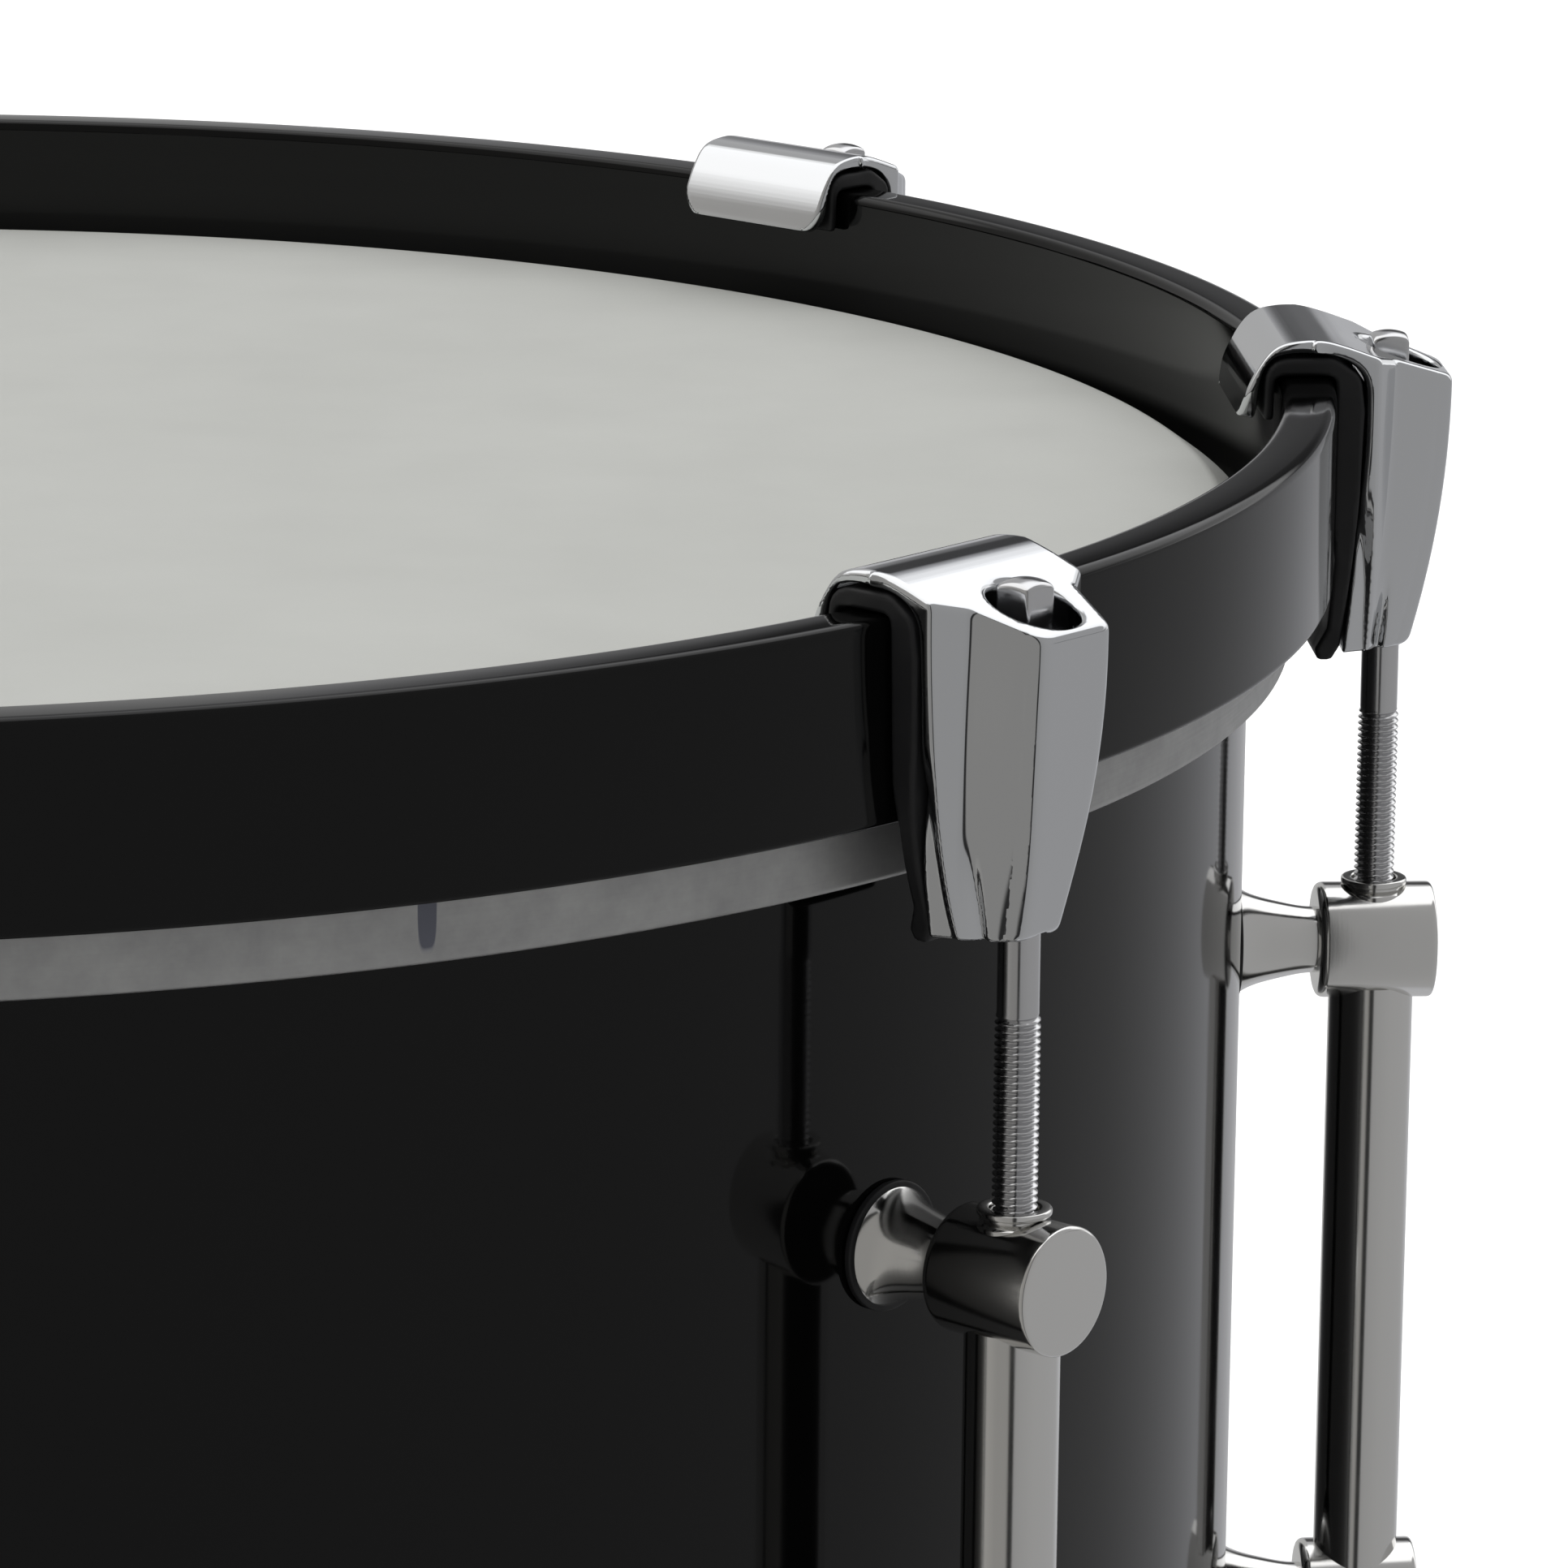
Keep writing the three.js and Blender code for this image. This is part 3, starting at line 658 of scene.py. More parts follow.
def claw_surface():
    """A cast claw: wings that hook over the hoop, and a tapered boss with a well for the rod's head."""
    side = inside(spline([
        (175.9, -4.4, 1), (176.9, -0.6), (178.9, 3.0), (180.6, 4.5), (183.1, 5.1), (185.9, 5.1),
        (188.7, 4.4), (192.0, 3.26, 1), (206, -1.57, 1), (206, -30.0, 1), (201.2, -32.6), (199.0, -34.2),
        (196.2, -34.7), (189.8, -34.5, 1), (191.1, -14), (191.4, -3), (190.6, 1.2), (187, 3.2),
        (180.6, 3.2), (178.6, 0.8), (178.1, -5.2, 1),
    ]))
    wing_edge = through(
        [6, 0, -5.7, -13.8, -18.8, -23.9, -29, -33, -35],
        [12.4, 12.4, 12.3, 11.7, 11, 10.2, 9.1, 7.8, 7],
    )
    face_half = through([6, -1.5, -12, -18, -27, -31, -35], [5.2, 5.15, 5.0, 4.5, 3.7, 3.1, 2.6])
    body_half = through([6, 0, -12, -18, -27, -31, -35], [8.4, 8.4, 8.3, 7.8, 6.8, 5.9, 5.1])
    taper = through([6, -4, -12, -18, -27, -31, -35], [0.4, 0.4, 0.41, 0.48, 0.66, 0.75, 0.8])

    def field(x, y, z):
        y = np.abs(y)
        front = 202.9 - 0.0037 * (z + 1) ** 2
        # Below -12 the wings get narrower towards the hoop.
        undercut = 0.6 * np.maximum(193 - x, 0) * step((-12 - z) / 8)
        wing = both(y - wing_edge(z) + undercut, 0.839 * (x - 193) + 0.545 * (y - wing_edge(z)), 0.4)
        # The boss has tapered flanks, a front that curves, and a rounded chamfer between them.
        flank = y - body_half(z) + taper(z) * (x - 196)
        turn = np.hypot(np.maximum(x - front + 3.01, 0), np.maximum(y - face_half(z) + 2.11, 0)) - 3.68
        chamfer = turn - 0.6 * np.maximum(front - 1.9 - x, 0)
        boss = both(both(flank, chamfer, 0.5), x - front, 0.6)
        groove = 1.1 * step((-22 - z) / 12) * np.exp(-(((x - 195.2 - 0.07 * (z + 24)) / 0.6) ** 2))
        plan = either(wing, boss, 0.4) + groove
        body = both(side(x, z), plan, 0.9)
        # The lip inside the hoop has round corners.
        lip = np.hypot(np.maximum(y - 8.1, 0), np.maximum(-0.8 - z, 0)) - 4.4
        body = both(body, np.minimum(lip, 184.5 - x), 0.8)
        well = np.hypot(x - WELL_CENTRE, y) - WELL_RADIUS
        body = both(body, -np.maximum(well, WELL_FLOOR - z), 0.8)
        return both(body, 2.9 - np.hypot(x - ROD_CIRCLE, y), 0.4)

    return carve(field, (174.5, -13.2, -35.4), (204, 13.2, 6), 0.34)


def pad_surface():
    """The rubber pad between a claw and the hoop."""
    hook = inside(eased([
        (178.9, -4.6, 0.5), (178.9, 3.05, 3.4), (187.4, 3.05, 3.0), (190.7, 0.8, 2.5), (191.25, -3.5, 3),
        (190.95, -14, 3), (189.6, -33.6, 0.8), (188.6, -35.6, 0.8), (186.9, -35.6, 0.6), (186.5, -34.2, 0.4),
        (187.8, -31.4, 1.5), (188.15, -22.3, 0), (187.5, -18, 0), (181, -4.6, 0.5),
    ]))
    hoop = inside(eased([(180.5, -22.3), (188.05, -22.3), (188.05, 0.85, 1.2), (180.5, 0.85, 1.2)]))
    half_width = through(
        [4, -6, -12, -18, -25, -29, -33, -35.3], [12.4, 12.4, 12.35, 11.9, 10.8, 9.4, 7.9, 7.2], 5
    )

    def field(x, y, z):
        y = np.abs(y)
        body = both(hook(x, z), y - half_width(z), 0.6)
        return both(body, -hoop(np.hypot(x, y), z), 0.5)

    return carve(field, (177.5, -13, -36), (192.2, 13, 4), 0.4)


def key_head_surface():
    """The square key head of a rod, with a domed top."""
    def field(x, y, z):
        square = both(np.abs(x), np.abs(y), 0.45) - KEY_HALF
        dome = z - KEY_TOP + (x * x + y * y) * 0.09
        return both(both(square, dome, 0.5), -5.0 - z, 0.2)

    return carve(field, (-2.9, -2.9, -5.6), (2.9, 2.9, 5.2), 0.18)


def rod_surface():
    """A flange, a shank and a rolled thread that runs down into the lug."""
    sides, pitch, fine = 28, 0.8, 8
    thread_top, thread_end, plain = -43.0, -69.0, 2.3
    turn = np.arange(sides) / sides
    profile = [(0, -ROD_REACH), (1.6, -ROD_REACH), (2.2, -ROD_REACH + 0.8), (2.25, thread_end)]
    for z in np.arange(thread_end, thread_top, pitch / fine):
        wave = np.abs(2 * ((z / pitch - turn) % 1) - 1)
        ridge = 2.06 + 0.44 * np.clip(1.5 * wave - 0.25, 0, 1)
        fade = step(min(z - thread_end, thread_top - z) / 1.2)
        profile.append((plain + (ridge - plain) * fade, z))
    profile += [(plain, thread_top), (plain, -8.0), (plain, -6.4)]
    profile += eased([
        (2.6, -6.1), (3.4, -6.1, 0.3), (3.4, -4.6, 0.3), (2.9, -4.2, 0.2), (2.6, -4.0),
    ], closed=False, steps=3)
    profile.append((0, -4.0))
    return lathe(profile, sides)


def washer_surface():
    """The washer between a rod's flange and the floor of the claw's well."""
    hole, rim, bottom, top = 2.65, 3.5, WELL_FLOOR + 0.05, -6.15
    section = [(hole, bottom, 0.15), (rim, bottom, 0.2), (rim, top, 0.3), (hole, top, 0.2)]
    return lathe(eased(section, steps=3), 40, closed=True)


claw_mesh = mesh("claw", claw_surface(), chrome)
pad_mesh = mesh("claw_pad", pad_surface(), black_rubber)
key_mesh = mesh("key_head", key_head_surface(), steel)
rod_mesh = mesh("rod", rod_surface(), steel)
washer_mesh = mesh("rod_washer", washer_surface(), black_rubber)

edge = (0, 0, HOOP_TOP)
at_rod = (ROD_CIRCLE, 0, HOOP_TOP)
for i in range(1, LUGS + 1):
    for side in ("batter", "snare"):
        place = station(360 / LUGS * (i - 1), side)
        turning = f"{side}_rod_{i}"
        pad_node = [f"claw_pad_{i}"] if side == "batter" else []
        piece(f"{side}_claw_{i}", claw_mesh, place, "root", "claw_chrome", f"{side}_claw_{i}", shift=edge)
        piece(f"{side}_pad_{i}", pad_mesh, place, "root", "pad_rubber", *pad_node, shift=edge)
        piece(f"{side}_rod_{i}", rod_mesh, place, turning, "rod_steel", turning, shift=at_rod)
        piece(f"{side}_key_head_{i}", key_mesh, place, turning, "rod_steel", turning, shift=at_rod)
        piece(f"{side}_washer_{i}", washer_mesh, place, "root", "pad_rubber", shift=at_rod)

# ---------------------------------------------------------------- lugs
# A barrel and its post are turned about their own axis: heights are distances from the drum's axis.


def barrel_surface():
    """A turned barrel on its flared post, whose foot stands on the gasket."""
    foot = SHELL_RADIUS + 0.95
    flare = through(
        [178.35, 179.5, 181, 182.7, 184.2, 185.5, 187, 188.4],
        [6.9, 6.1, 5.55, 5.07, 4.68, 4.4, 4.22, 4.14],
    )
    post = [(0, foot), (6.6, foot)] + [(flare(h), h) for h in np.linspace(foot + 0.15, BARREL_INNER, 20)]
    barrel = eased([
        (4.6, BARREL_INNER), (BARREL_RADIUS, BARREL_INNER, 1.1), (BARREL_RADIUS, BARREL_OUTER - 0.3, 0.75),
        (6.0, BARREL_OUTER - 0.22), (4.2, BARREL_OUTER - 0.09), (2, BARREL_OUTER - 0.02), (0, BARREL_OUTER),
    ], closed=False)
    return lathe(post + barrel, 72)


def gasket_surface():
    """The rubber ring between a post and the shell."""
    back = SHELL_RADIUS + 0.05
    front = back + 0.85
    section = [(0.5, back), (7.3, back, 0.2), (7.3, front, 0.3), (0.5, front)]
    return lathe(eased(section), 48, closed=True)


def tube_surface():
    """The tube between a lug's two barrels."""
    reach = BARREL_LEVEL - 5.2
    return lathe([(0, -reach), (TUBE_RADIUS, -reach), (TUBE_RADIUS, reach), (0, reach)], 56)


def collar_surface():
    """The flanged collar that a rod enters by. Heights are from the barrel's axis."""
    return lathe(eased([
        (2.75, 3.0), (4.3, 3.0, 0), (4.3, 6.3, 0.4), (3.45, 6.9, 0.5), (3.45, 7.25, 0.2), (4.1, 7.35, 0.25),
        (4.1, 8.1, 0.35), (2.75, 8.1, 0.3),
    ], steps=4), 48, closed=True)


barrel_mesh = mesh("lug_barrel", barrel_surface(), nickel, sharp=28)
gasket_mesh = mesh("lug_gasket", gasket_surface(), black_rubber)
tube_mesh = mesh("lug_tube", tube_surface(), nickel)
collar_mesh = mesh("lug_collar", collar_surface(), nickel)

at_axis = {"shift": (0, 0, BARREL_LEVEL), "turn": OUTWARDS}
at_collar = (ROD_CIRCLE, 0, BARREL_LEVEL)
for i in range(1, LUGS + 1):
    node = f"lug_{i}"
    azimuth = 360 / LUGS * (i - 1)
    piece(f"{node}_tube", tube_mesh, station(azimuth), "root", "lug_nickel", node, shift=(ROD_CIRCLE, 0, 0))
    for side in ("batter", "snare"):
        place = station(azimuth, side)
        piece(f"{node}_{side}_barrel", barrel_mesh, place, "root", "lug_nickel", node, **at_axis)
        piece(f"{node}_{side}_gasket", gasket_mesh, place, "root", "pad_rubber", node, **at_axis)
        piece(f"{node}_{side}_collar", collar_mesh, place, "root", "lug_nickel", node, shift=at_collar)

# ---------------------------------------------------------------- snares, strainer and butt


def coil_surface():
    """One snare wire: a long open coil along X."""
    radius, wire, pitch, around, across = 1.0, 0.24, 1.3, 11, 5
    turns = 2 * WIRE_HALF / pitch
    t = np.linspace(0, 2 * np.pi * turns, round(turns * around))
    centre = np.stack([t * pitch / (2 * np.pi) - WIRE_HALF, radius * np.cos(t), radius * np.sin(t)], 1)
    out = np.stack([0 * t, np.cos(t), np.sin(t)], 1)
    rings = []
    for k in range(across):
        angle = 2 * np.pi * k / across
        rings.append(centre + wire * (math.cos(angle) * out + math.sin(angle) * np.array([1, 0, 0])))
    points = np.stack(rings, 1).reshape(-1, 3)
    faces = []
    for i in range(len(t) - 1):
        for k in range(across):
            n = (k + 1) % across
            a, b = i * across, (i + 1) * across
            faces.append((a + k, a + n, b + n, b + k))
    return points, faces


def end_plate_surface():
    """The plate that the coils are soldered to, with a folded lip and a round bead."""
    flat = inside(eased([(150, -23, 2.5), (164, -23, 2.5), (164, 23, 2.5), (150, 23, 2.5)]))

    def field(x, y, z):
        plate = both(flat(x, y), np.abs(z + 0.55) - 0.3, 0.3)
        lip = both(both(flat(x, y), np.abs(x - 163.3) - 0.55, 0.3), np.abs(z) - 0.85, 0.4)
        bead = both(np.hypot(x - 151.2, z + 0.1) - 0.75, np.abs(y) - 21.5, 0.6)
        return either(either(plate, lip, 0.5), bead, 0.5)

    return carve(field, (148.5, -24, -1.6), (165.5, 24, 1.6), 0.4)


def strap_surface():
    """A strap from under the end plate, round the bend at the hoop's gate, and up to its clamp."""
    start, bend, half = 156.0, 4.0, 12.0
    centre = (STRAP_RADIAL - bend, WIRES_LEVEL + bend)
    line = [(start, WIRES_LEVEL)]
    line += [(x, WIRES_LEVEL) for x in np.linspace(start, centre[0], 12)[1:]]
    for angle in np.linspace(-90, 0, 13)[1:]:
        a = math.radians(angle)
        line.append((centre[0] + bend * math.cos(a), centre[1] + bend * math.sin(a)))
    line += [(STRAP_RADIAL, z) for z in np.linspace(centre[1], STRAP_TOP, 24)[1:]]
    line = np.array(line)
    tangent = np.gradient(line, axis=0)
    tangent /= np.linalg.norm(tangent, axis=1)[:, None]
    normal = np.stack([tangent[:, 1], -tangent[:, 0]], 1)
    thin = 0.24
    section = eased([(-thin, -half, 0.2), (thin, -half, 0.2), (thin, half, 0.2), (-thin, half, 0.2)], steps=3)
    rings = []
    for (x, z), (nx, nz) in zip(line, normal):
        rings.append([(x + nx * u, v, z + nz * u) for u, v in section])
    wide = len(section)
    faces = []
    for i in range(len(rings) - 1):
        for k in range(wide):
            n = (k + 1) % wide
            faces.append((i * wide + k, i * wide + n, (i + 1) * wide + n, (i + 1) * wide + k))
    last = (len(rings) - 1) * wide
    faces += [tuple(range(wide))[::-1], tuple(range(last, last + wide))]
    return np.array(rings).reshape(-1, 3), faces


def slot_field(x, y):
    """The slot that a strap runs up in."""
    return both(np.abs(x - STRAP_RADIAL) - 0.6, np.abs(y) - 12.4, 0.4)


def mount_field(bottom, top):
    """A plate on the shell: rounded corners, and a back hollowed to the shell's curve."""
    outline = inside(eased([
        (-HOLDER_HALF_WIDTH, bottom, 5), (HOLDER_HALF_WIDTH, bottom, 5),
        (HOLDER_HALF_WIDTH, top, 5), (-HOLDER_HALF_WIDTH, top, 5),
    ]))

    def field(x, y, z):
        plate = both(outline(y, z), x - PLATE_FRONT, 1.6)
        return both(plate, SHELL_RADIUS + GAP - np.hypot(x, y), 0.15)

    return field


def base_surface():
    """The strainer's base: its plate, two cheeks and the lever's pivot pin."""
    plate = mount_field(HOLDER_BOTTOM, -14)
    cheek = inside(eased([
        (180.6, -80, 2), (195, -80, 3), (CHEEK_FRONT, -74, 5), (CHEEK_FRONT, -44, 14),
        (198.6, -30, 5), (192, -22.8, 6), (184.5, -22.8, 4), (180.6, -27, 2),
    ]))

    def field(x, y, z):
        y = np.abs(y)
        wall = both(cheek(x, z), np.abs(y - 16.75) - 1.65, 0.8)
        pin = both(np.hypot(x - PIVOT_RADIAL, z - PIVOT_HEIGHT) - 2.5, y - HOLDER_HALF_WIDTH, 0.3)
        return either(either(plate(x, y, z), wall, 1.6), pin, 0.2)

    return carve(field, (176.4, -19.6, -85), (200, 19.6, -13), 0.6)


def slider_surface():
    """The clamp block that slides between the cheeks and holds the strap."""
    block = inside(eased([
        (184, SLIDER_BOTTOM, 1.5), (SLIDER_FRONT, SLIDER_BOTTOM, 3),
        (SLIDER_FRONT, SLIDER_TOP, 2), (184, SLIDER_TOP, 1.5),
    ]))

    def field(x, y, z):
        body = both(block(x, z), np.abs(y) - 14.7, 1.4)
        recess = both(both(SLIDER_RECESS - x, np.abs(y) - 12.6, 0.8), np.abs(z - SLIDER_MIDDLE) - 6.2, 0.8)
        body = both(body, -recess, 0.5)
        body = both(body, -slot_field(x, y), 0.4)
        stem = np.maximum(np.hypot(x - ROD_CIRCLE, y) - 2.75, SLIDER_TOP - 8 - z)
        return both(body, -stem, 0.5)

    return carve(field, (183, -15.6, -77), (201.4, 15.6, -57), 0.5)


def lever_surface():
    """The throw-off lever: a hub on the pivot pin, and an arm that is dished for the thumb."""
    arm = inside(spline([
        (192.6, -36), (198.2, -34), (199.1, -24), (198.3, -8), (199.3, 3), (202.3, 13.5), (201.6, 16.8),
        (199.3, 16.2), (195.6, 4), (194.4, -8), (193.6, -20), (190.8, -30),
    ]))
    half_width = through([-38, -30, -18, -6, 6, 17], [9.2, 9.2, 8.2, 7.2, 7.8, 9.0], 3)

    def field(x, y, z):
        y = np.abs(y)
        reach = np.hypot(x - PIVOT_RADIAL, z - PIVOT_HEIGHT)
        hub = both(reach - 7.2, y - 14.6, 1.6)
        blade = both(arm(x, z), y - half_width(z), 1.6)
        dish = 5.4 - np.sqrt((x - 205.4) ** 2 + (0.55 * y) ** 2 + (0.42 * (z - 8.5)) ** 2)
        return both(both(either(hub, blade, 3), dish, 0.8), 2.9 - reach, 0.3)

    return carve(field, (183.8, -15.6, -38.4), (204, 15.6, 18), 0.55)


def knob_surface():
    """The knurled tension knob, with a shallow groove round a raised middle on its top, and its screw."""
    sides, bottom = 144, SLIDER_TOP + 1.5
    flute = 0.32 * np.abs(np.sin(np.arange(sides) * 2 * np.pi / sides * 18))
    outline = [
        (0, SLIDER_TOP - 7), (2.1, SLIDER_TOP - 7), (2.4, SLIDER_TOP - 6.5), (2.4, bottom), (5.4, bottom),
        (7.1, bottom), (7.5, bottom + 0.5), (7.68 + flute, bottom + 1.3), (7.68 + flute, bottom + 7.6),
        (7.5, bottom + 8.4), (7.1, bottom + 8.8), (5.9, bottom + 9.2), (5.3, bottom + 8.9),
        (4.6, bottom + 9.0), (4.2, bottom + 9.8), (3.0, bottom + 10), (0, bottom + 10),
    ]
    return lathe(outline, sides)


def screw_surface(radius, height):
    """A pan-head screw with a slot, its head along Z from 0."""
    def field(x, y, z):
        reach = np.hypot(x, y)
        head = both(reach - radius, z - height + reach**2 * 0.4 * height / radius**2, 0.7)
        head = both(head, -0.4 - z, 0.1)
        slot = np.maximum(np.abs(x) - 0.5, height * 0.45 - z)
        return both(head, -slot, 0.2)

    reach = radius + 0.5
    return carve(field, (-reach, -reach, -0.8), (reach, reach, height + 0.4), 0.25)


def rivet_surface():
    """A pivot pin's head, along Z from 0."""
    outline = [(0, -0.5), (3.6, -0.5), (3.6, 0.4, 0.3), (2.8, 1.0, 0.6), (0, 1.2)]
    return lathe(eased(outline, closed=False), 40)


def butt_surface():
    """The butt: its plate and a fixed clamp block with the strap's slot."""
    plate = mount_field(HOLDER_BOTTOM, -46)
    block = inside(eased([(180.6, -80, 2), (CHEEK_FRONT, -80, 4), (CHEEK_FRONT, -50, 4), (180.6, -50, 2)]))

    def field(x, y, z):
        body = both(block(x, z), np.abs(y) - CHEEK_INNER, 1.8)
        body = either(plate(x, y, z), body, 1.2)
        return both(body, -slot_field(x, y), 0.4)

    return carve(field, (176.4, -19.6, -85), (200, 19.6, -45), 0.55)


strainer, butt_place = station(STRAINER_AZIMUTH), station(BUTT_AZIMUTH)
coil_mesh = mesh("snare_coil", coil_surface(), wire_steel, sharp=80)
end_mesh = mesh("snare_end_plate", end_plate_surface(), strainer_chrome)
for i in range(WIRE_COUNT):
    offset = (0, (i - (WIRE_COUNT - 1) / 2) * WIRE_SPACING, WIRES_LEVEL)
    piece(f"snare_wire_{i + 1}", coil_mesh, strainer, "root", "snare_steel", "snare_wires", shift=offset)
wires_level = (0, 0, WIRES_LEVEL)
for name, place in (("strainer", strainer), ("butt", butt_place)):
    piece(f"snare_plate_{name}", end_mesh, place, "root", "strainer_chrome", "snare_wires", shift=wires_level)

butt_strap = mesh("butt_strap", strap_surface(), wire_steel)
piece("butt_strap", butt_strap, butt_place, "root", "snare_steel", "snare_wires")

strap = bpy.data.objects.new("strainer_strap", mesh("strainer_strap", strap_surface(), wire_steel))
bpy.context.scene.collection.objects.link(strap)
strap.matrix_world = strainer
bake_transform(strap)
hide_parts("snare_wires")


def cast(name, data, place, body, *nodes, shift=(0, 0, 0), turn=UPRIGHT):
    """A piece of the strainer or butt."""
    return piece(name, data, place, body, "strainer_chrome", *nodes, shift=shift, turn=turn)


for name, surface, body in (
    ("strainer_base", base_surface(), "root"),
    ("strap_slider", slider_surface(), "strap_slider"),
    ("throw_off_lever", lever_surface(), "throw_off_lever"),
):
    cast(name, mesh(name, surface, strainer_chrome), strainer, body, name)
knob = mesh("tension_knob", knob_surface(), strainer_chrome, sharp=50)
cast("tension_knob", knob, strainer, "tension_knob", "tension_knob", shift=(ROD_CIRCLE, 0, 0))
butt = mesh("butt_plate", butt_surface(), strainer_chrome)
cast("butt_plate", butt, butt_place, "root", "butt_plate")

small_screw = mesh("small_screw", screw_surface(2.9, 1.7), steel)
clamp_screw = mesh("clamp_screw", screw_surface(3.5, 2.3), steel)
for n, (y, z) in enumerate([(-11, -18.6), (11, -18.6), (-10, -80), (10, -80)], 1):
    cast(f"strainer_screw_{n}", small_screw, strainer, "root", shift=(PLATE_FRONT, y, z), turn=OUTWARDS)
for n, y in enumerate((-7.2, 7.2), 1):
    at_clamp, at_butt = (SLIDER_RECESS, y, SLIDER_MIDDLE), (CHEEK_FRONT, y, -66)
    cast(f"clamp_screw_{n}", clamp_screw, strainer, "strap_slider", shift=at_clamp, turn=OUTWARDS)
    cast(f"butt_screw_{n}", clamp_screw, butt_place, "root", shift=at_butt, turn=OUTWARDS)
rivet = mesh("pivot_head", rivet_surface(), strainer_chrome)
for n, (y, turn) in enumerate([(HOLDER_HALF_WIDTH, ACROSS), (-HOLDER_HALF_WIDTH, ACROSS.inverted())], 1):
    cast(f"pivot_head_{n}", rivet, strainer, "root", shift=(PIVOT_RADIAL, y, PIVOT_HEIGHT), turn=turn)

# ---------------------------------------------------------------- vent


def vent_surface():
    """The vent's eyelet, turned about its axis: heights are distances from the drum's axis."""
    bore, back, face = 4.75, SHELL_RADIUS - SHELL_WALL - 0.1, SHELL_RADIUS + 0.12
    return lathe(eased([
        (bore, back - 0.5, 0.3), (7.4, back - 0.5, 0.4), (7.4, back, 0.2), (6.2, back), (6.2, face),
        (9.5, face, 0.2), (9.3, face + 0.8, 0.9), (6.6, face + 1.3, 1.5), (bore, face + 0.9, 0.9),
    ]), 64, closed=True)


vent_mesh = mesh("vent_grommet", vent_surface(), nickel)
piece("vent_grommet", vent_mesh, station(VENT_AZIMUTH), "root", "lug_nickel", "vent_grommet", turn=OUTWARDS)

# ---------------------------------------------------------------- floor, light and camera


def pale_floor():
    """A plain pale floor, which the metal doesn't mirror."""
    bpy.ops.mesh.primitive_plane_add(size=120, location=(0, 0, -0.0003))
    floor = bpy.context.object
    floor.name = "floor"
    paint = Finish("floor_pale", (0.86, 0.86, 0.86), 0, 0.9, 0.1)
    paint.tint(paint.noise(paint.place, 0.7, 2), (0.855, 0.855, 0.855), (0.865, 0.865, 0.865))
    floor.data.materials.append(paint.material)
    floor.visible_glossy = False


def turn_at(degrees):
    """An azimuth as a place from 0 to 1 round the drum."""
    return 0.5 + degrees / 360


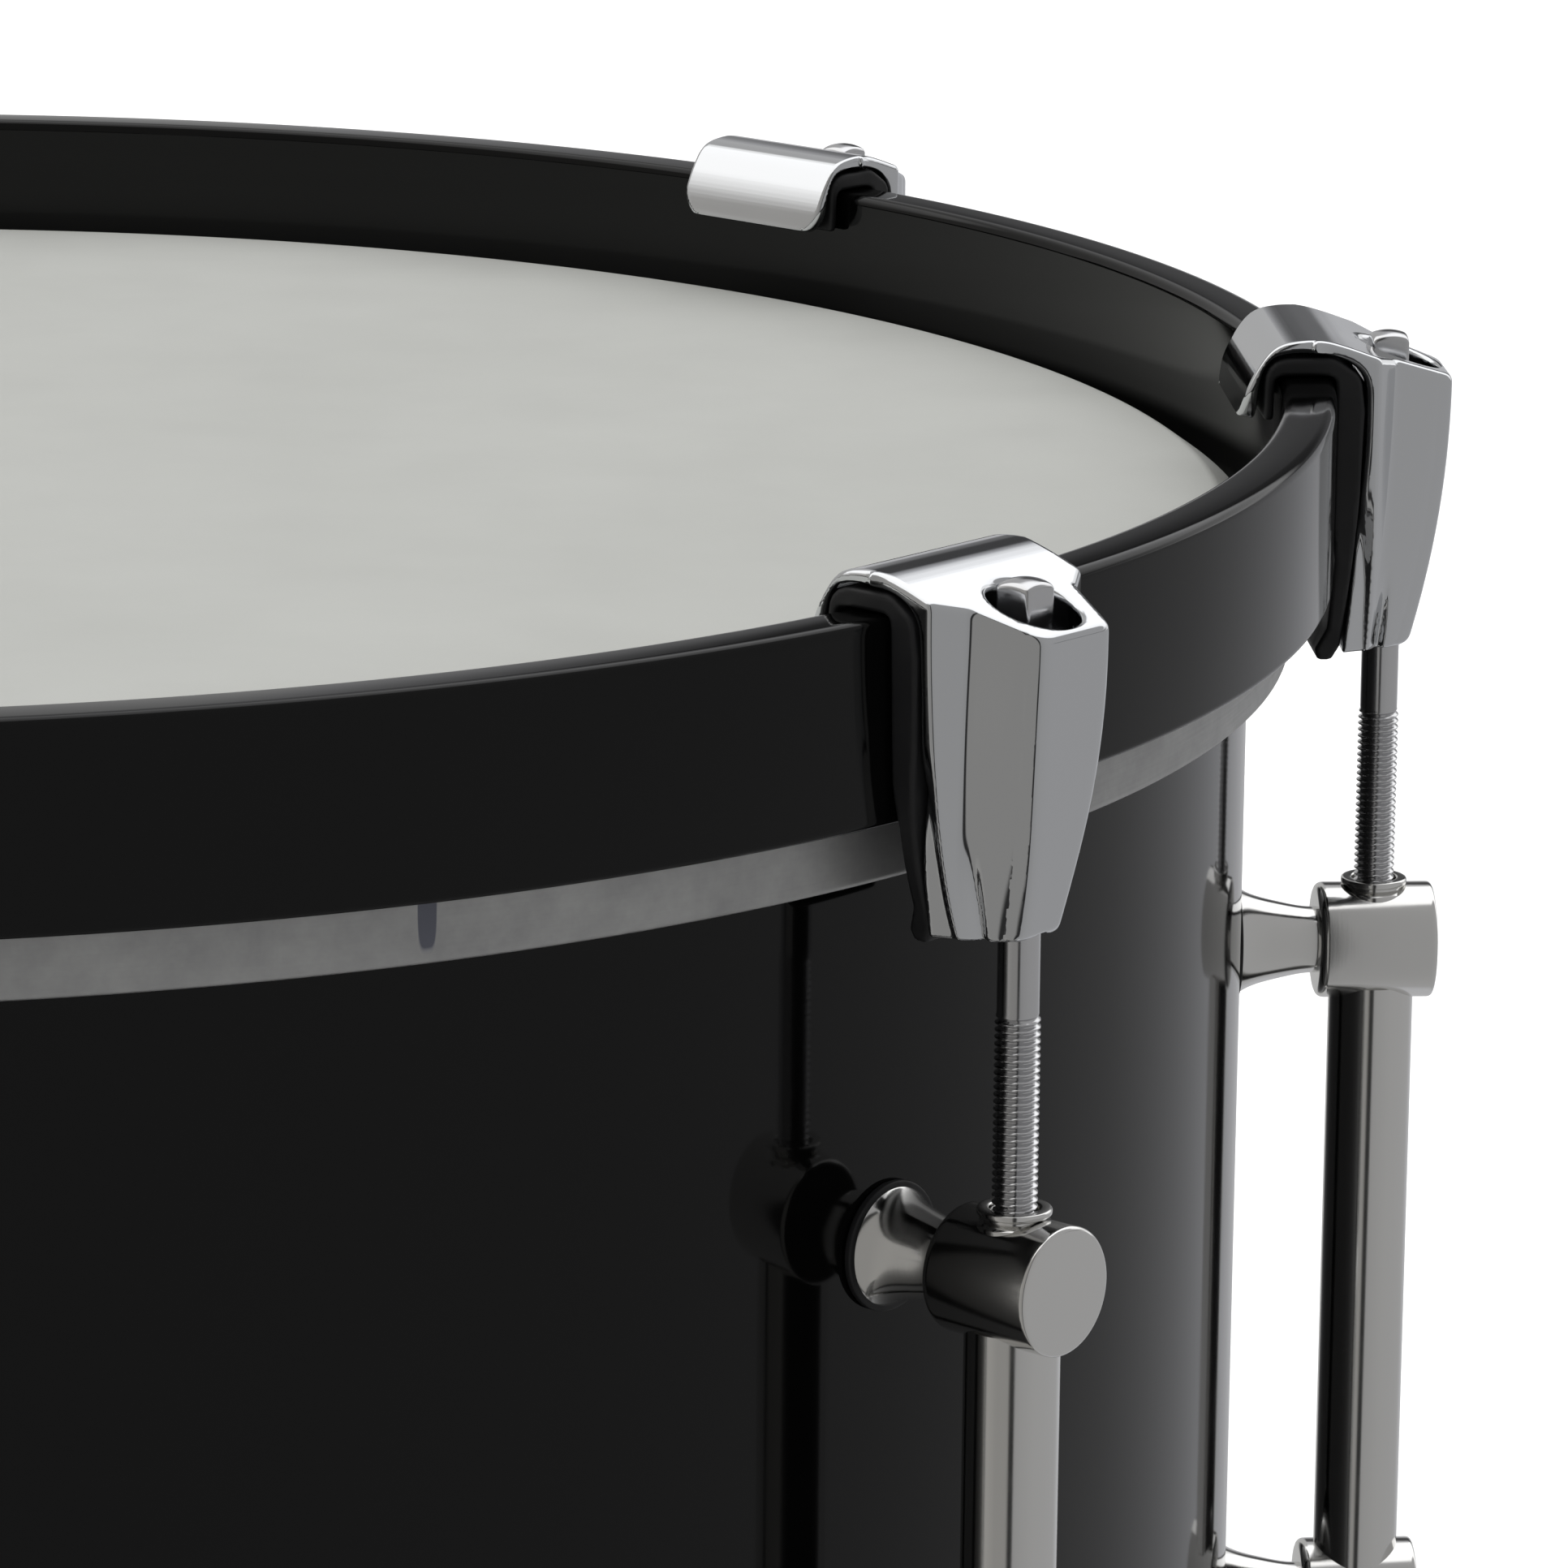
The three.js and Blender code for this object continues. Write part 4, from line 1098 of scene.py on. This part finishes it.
def light_tent():
    """Even walls with a dark gap at the camera and another behind on the right, and a softbox above."""
    world = bpy.data.worlds.new("tent")
    bpy.context.scene.world = world
    world.use_nodes = True
    tree = world.node_tree
    nodes, links = tree.nodes, tree.links

    def math_node(operation, *values, clamp=False):
        node = nodes.new("ShaderNodeMath")
        node.operation, node.use_clamp = operation, clamp
        for socket, value in zip(node.inputs, values):
            if isinstance(value, (int, float)):
                socket.default_value = value
            else:
                links.new(value, socket)
        return node.outputs[0]

    def ramp(source, stops):
        """A colour, or a grey given as one number, that follows the source from stop to stop."""
        node = nodes.new("ShaderNodeValToRGB")
        links.new(source, node.inputs["Fac"])
        points = node.color_ramp.elements
        while len(points) < len(stops):
            points.new(0.5)
        for point, (at, colour) in zip(points, stops):
            point.position = at
            point.color = (*colour, 1) if isinstance(colour, tuple) else (colour, colour, colour, 1)
        return node.outputs["Color"]

    direction = nodes.new("ShaderNodeTexCoord").outputs["Generated"]
    parts = nodes.new("ShaderNodeSeparateXYZ")
    links.new(direction, parts.inputs["Vector"])
    x, y, z = parts.outputs
    towards_camera = math_node("MULTIPLY", y, -1.0)
    azimuth = math_node("ARCTAN2", x, towards_camera)
    round_about = math_node("ADD", math_node("DIVIDE", azimuth, 2 * math.pi), 0.5)
    walls = ramp(round_about, [
        (0.0, 0.5),
        (turn_at(-90), (0.42, 0.41, 0.39)),
        (turn_at(-40), (0.3, 0.295, 0.285)),
        (turn_at(-13), (0.3, 0.295, 0.285)),
        (turn_at(-8), 0.03),
        (turn_at(0), 0.03),
        (turn_at(4), 0.34),
        (turn_at(50), 0.38),
        (turn_at(125), (0.4, 0.4, 0.405)),
        (turn_at(150), (0.52, 0.525, 0.545)),
        (1.0, (0.5, 0.5, 0.51)),
    ])
    overhead = math_node("ARCTAN2", z, towards_camera)
    above = math_node("DIVIDE", overhead, math.pi)  # 0 at the camera's side, 0.5 overhead, 1 behind
    behind = ramp(above, [
        (0.0, 0.0), (0.83, 0.0), (0.86, 0.88), (0.92, 0.88),
        (0.94, 0.7), (0.965, 0.7), (0.975, 0.0), (1.0, 0.0),
    ])
    to_the_right = math_node("MULTIPLY_ADD", x, 12.0, 0.1, clamp=True)
    gap = math_node("MULTIPLY", behind, to_the_right)
    lit_walls = nodes.new("ShaderNodeVectorMath")
    lit_walls.operation = "SCALE"
    links.new(walls, lit_walls.inputs[0])
    links.new(math_node("SUBTRACT", 1.0, gap), lit_walls.inputs["Scale"])
    skew = math_node("DIVIDE", math_node("MAXIMUM", x, 0.0), 3.0)
    softbox = ramp(math_node("SUBTRACT", above, skew), [
        (0.4, 0.0), (0.43, 1.0), (0.72, 1.0), (0.76, 0.0),
    ])
    narrow = math_node("SUBTRACT", 1.0, math_node("ABSOLUTE", x))
    sides = math_node("MULTIPLY", narrow, 6.0, clamp=True)
    mix = nodes.new("ShaderNodeVectorMath")
    mix.operation = "MULTIPLY_ADD"
    links.new(softbox, mix.inputs[0])
    links.new(sides, mix.inputs[1])
    links.new(lit_walls.outputs[0], mix.inputs[2])
    links.new(mix.outputs[0], nodes["Background"].inputs["Color"])
    nodes["Background"].inputs["Strength"].default_value = 1.0


def soft_sun(name, place, power):
    """A wide sun that shines from a place towards the drum."""
    light = bpy.data.lights.new(name, "SUN")
    light.angle = math.radians(60)
    light.energy = power
    made = bpy.data.objects.new(name, light)
    bpy.context.scene.collection.objects.link(made)
    made.location = place
    made.rotation_euler = (-Vector(place)).to_track_quat("-Z", "Y").to_euler()
    made.visible_glossy = False


def camera():
    """A long lens close to the drum, looking down over its front edge, fitted to the photo's outlines."""
    eye, focal_length = (0.0601, -0.9576, 0.4238), 184.08
    yaw, pitch, roll = 0.0646, 0.2444, 0.0102
    ahead = Vector((math.sin(yaw) * math.cos(pitch), math.cos(yaw) * math.cos(pitch), -math.sin(pitch)))
    right = Vector((math.cos(yaw), -math.sin(yaw), 0))
    up = right.cross(ahead)
    across = right * math.cos(roll) + up * math.sin(roll)
    upwards = up * math.cos(roll) - right * math.sin(roll)
    made = bpy.data.objects.new("camera", bpy.data.cameras.new("camera"))
    bpy.context.scene.collection.objects.link(made)
    aim = Matrix((across, upwards, -ahead)).transposed().to_4x4()
    made.matrix_world = Matrix.Translation(eye) @ aim
    made.data.sensor_width = 36.0
    made.data.lens = focal_length
    made.data.clip_start = 0.05
    made.data.clip_end = 200.0
    bpy.context.scene.camera = made


pale_floor()
light_tent()
soft_sun("key", (-0.9, -1.0, 2.2), 1.7)
soft_sun("fill", (1.3, 0.9, 1.7), 1.1)
camera()
bpy.context.scene.view_settings.view_transform = "Standard"
bpy.context.scene.view_settings.look = "None"
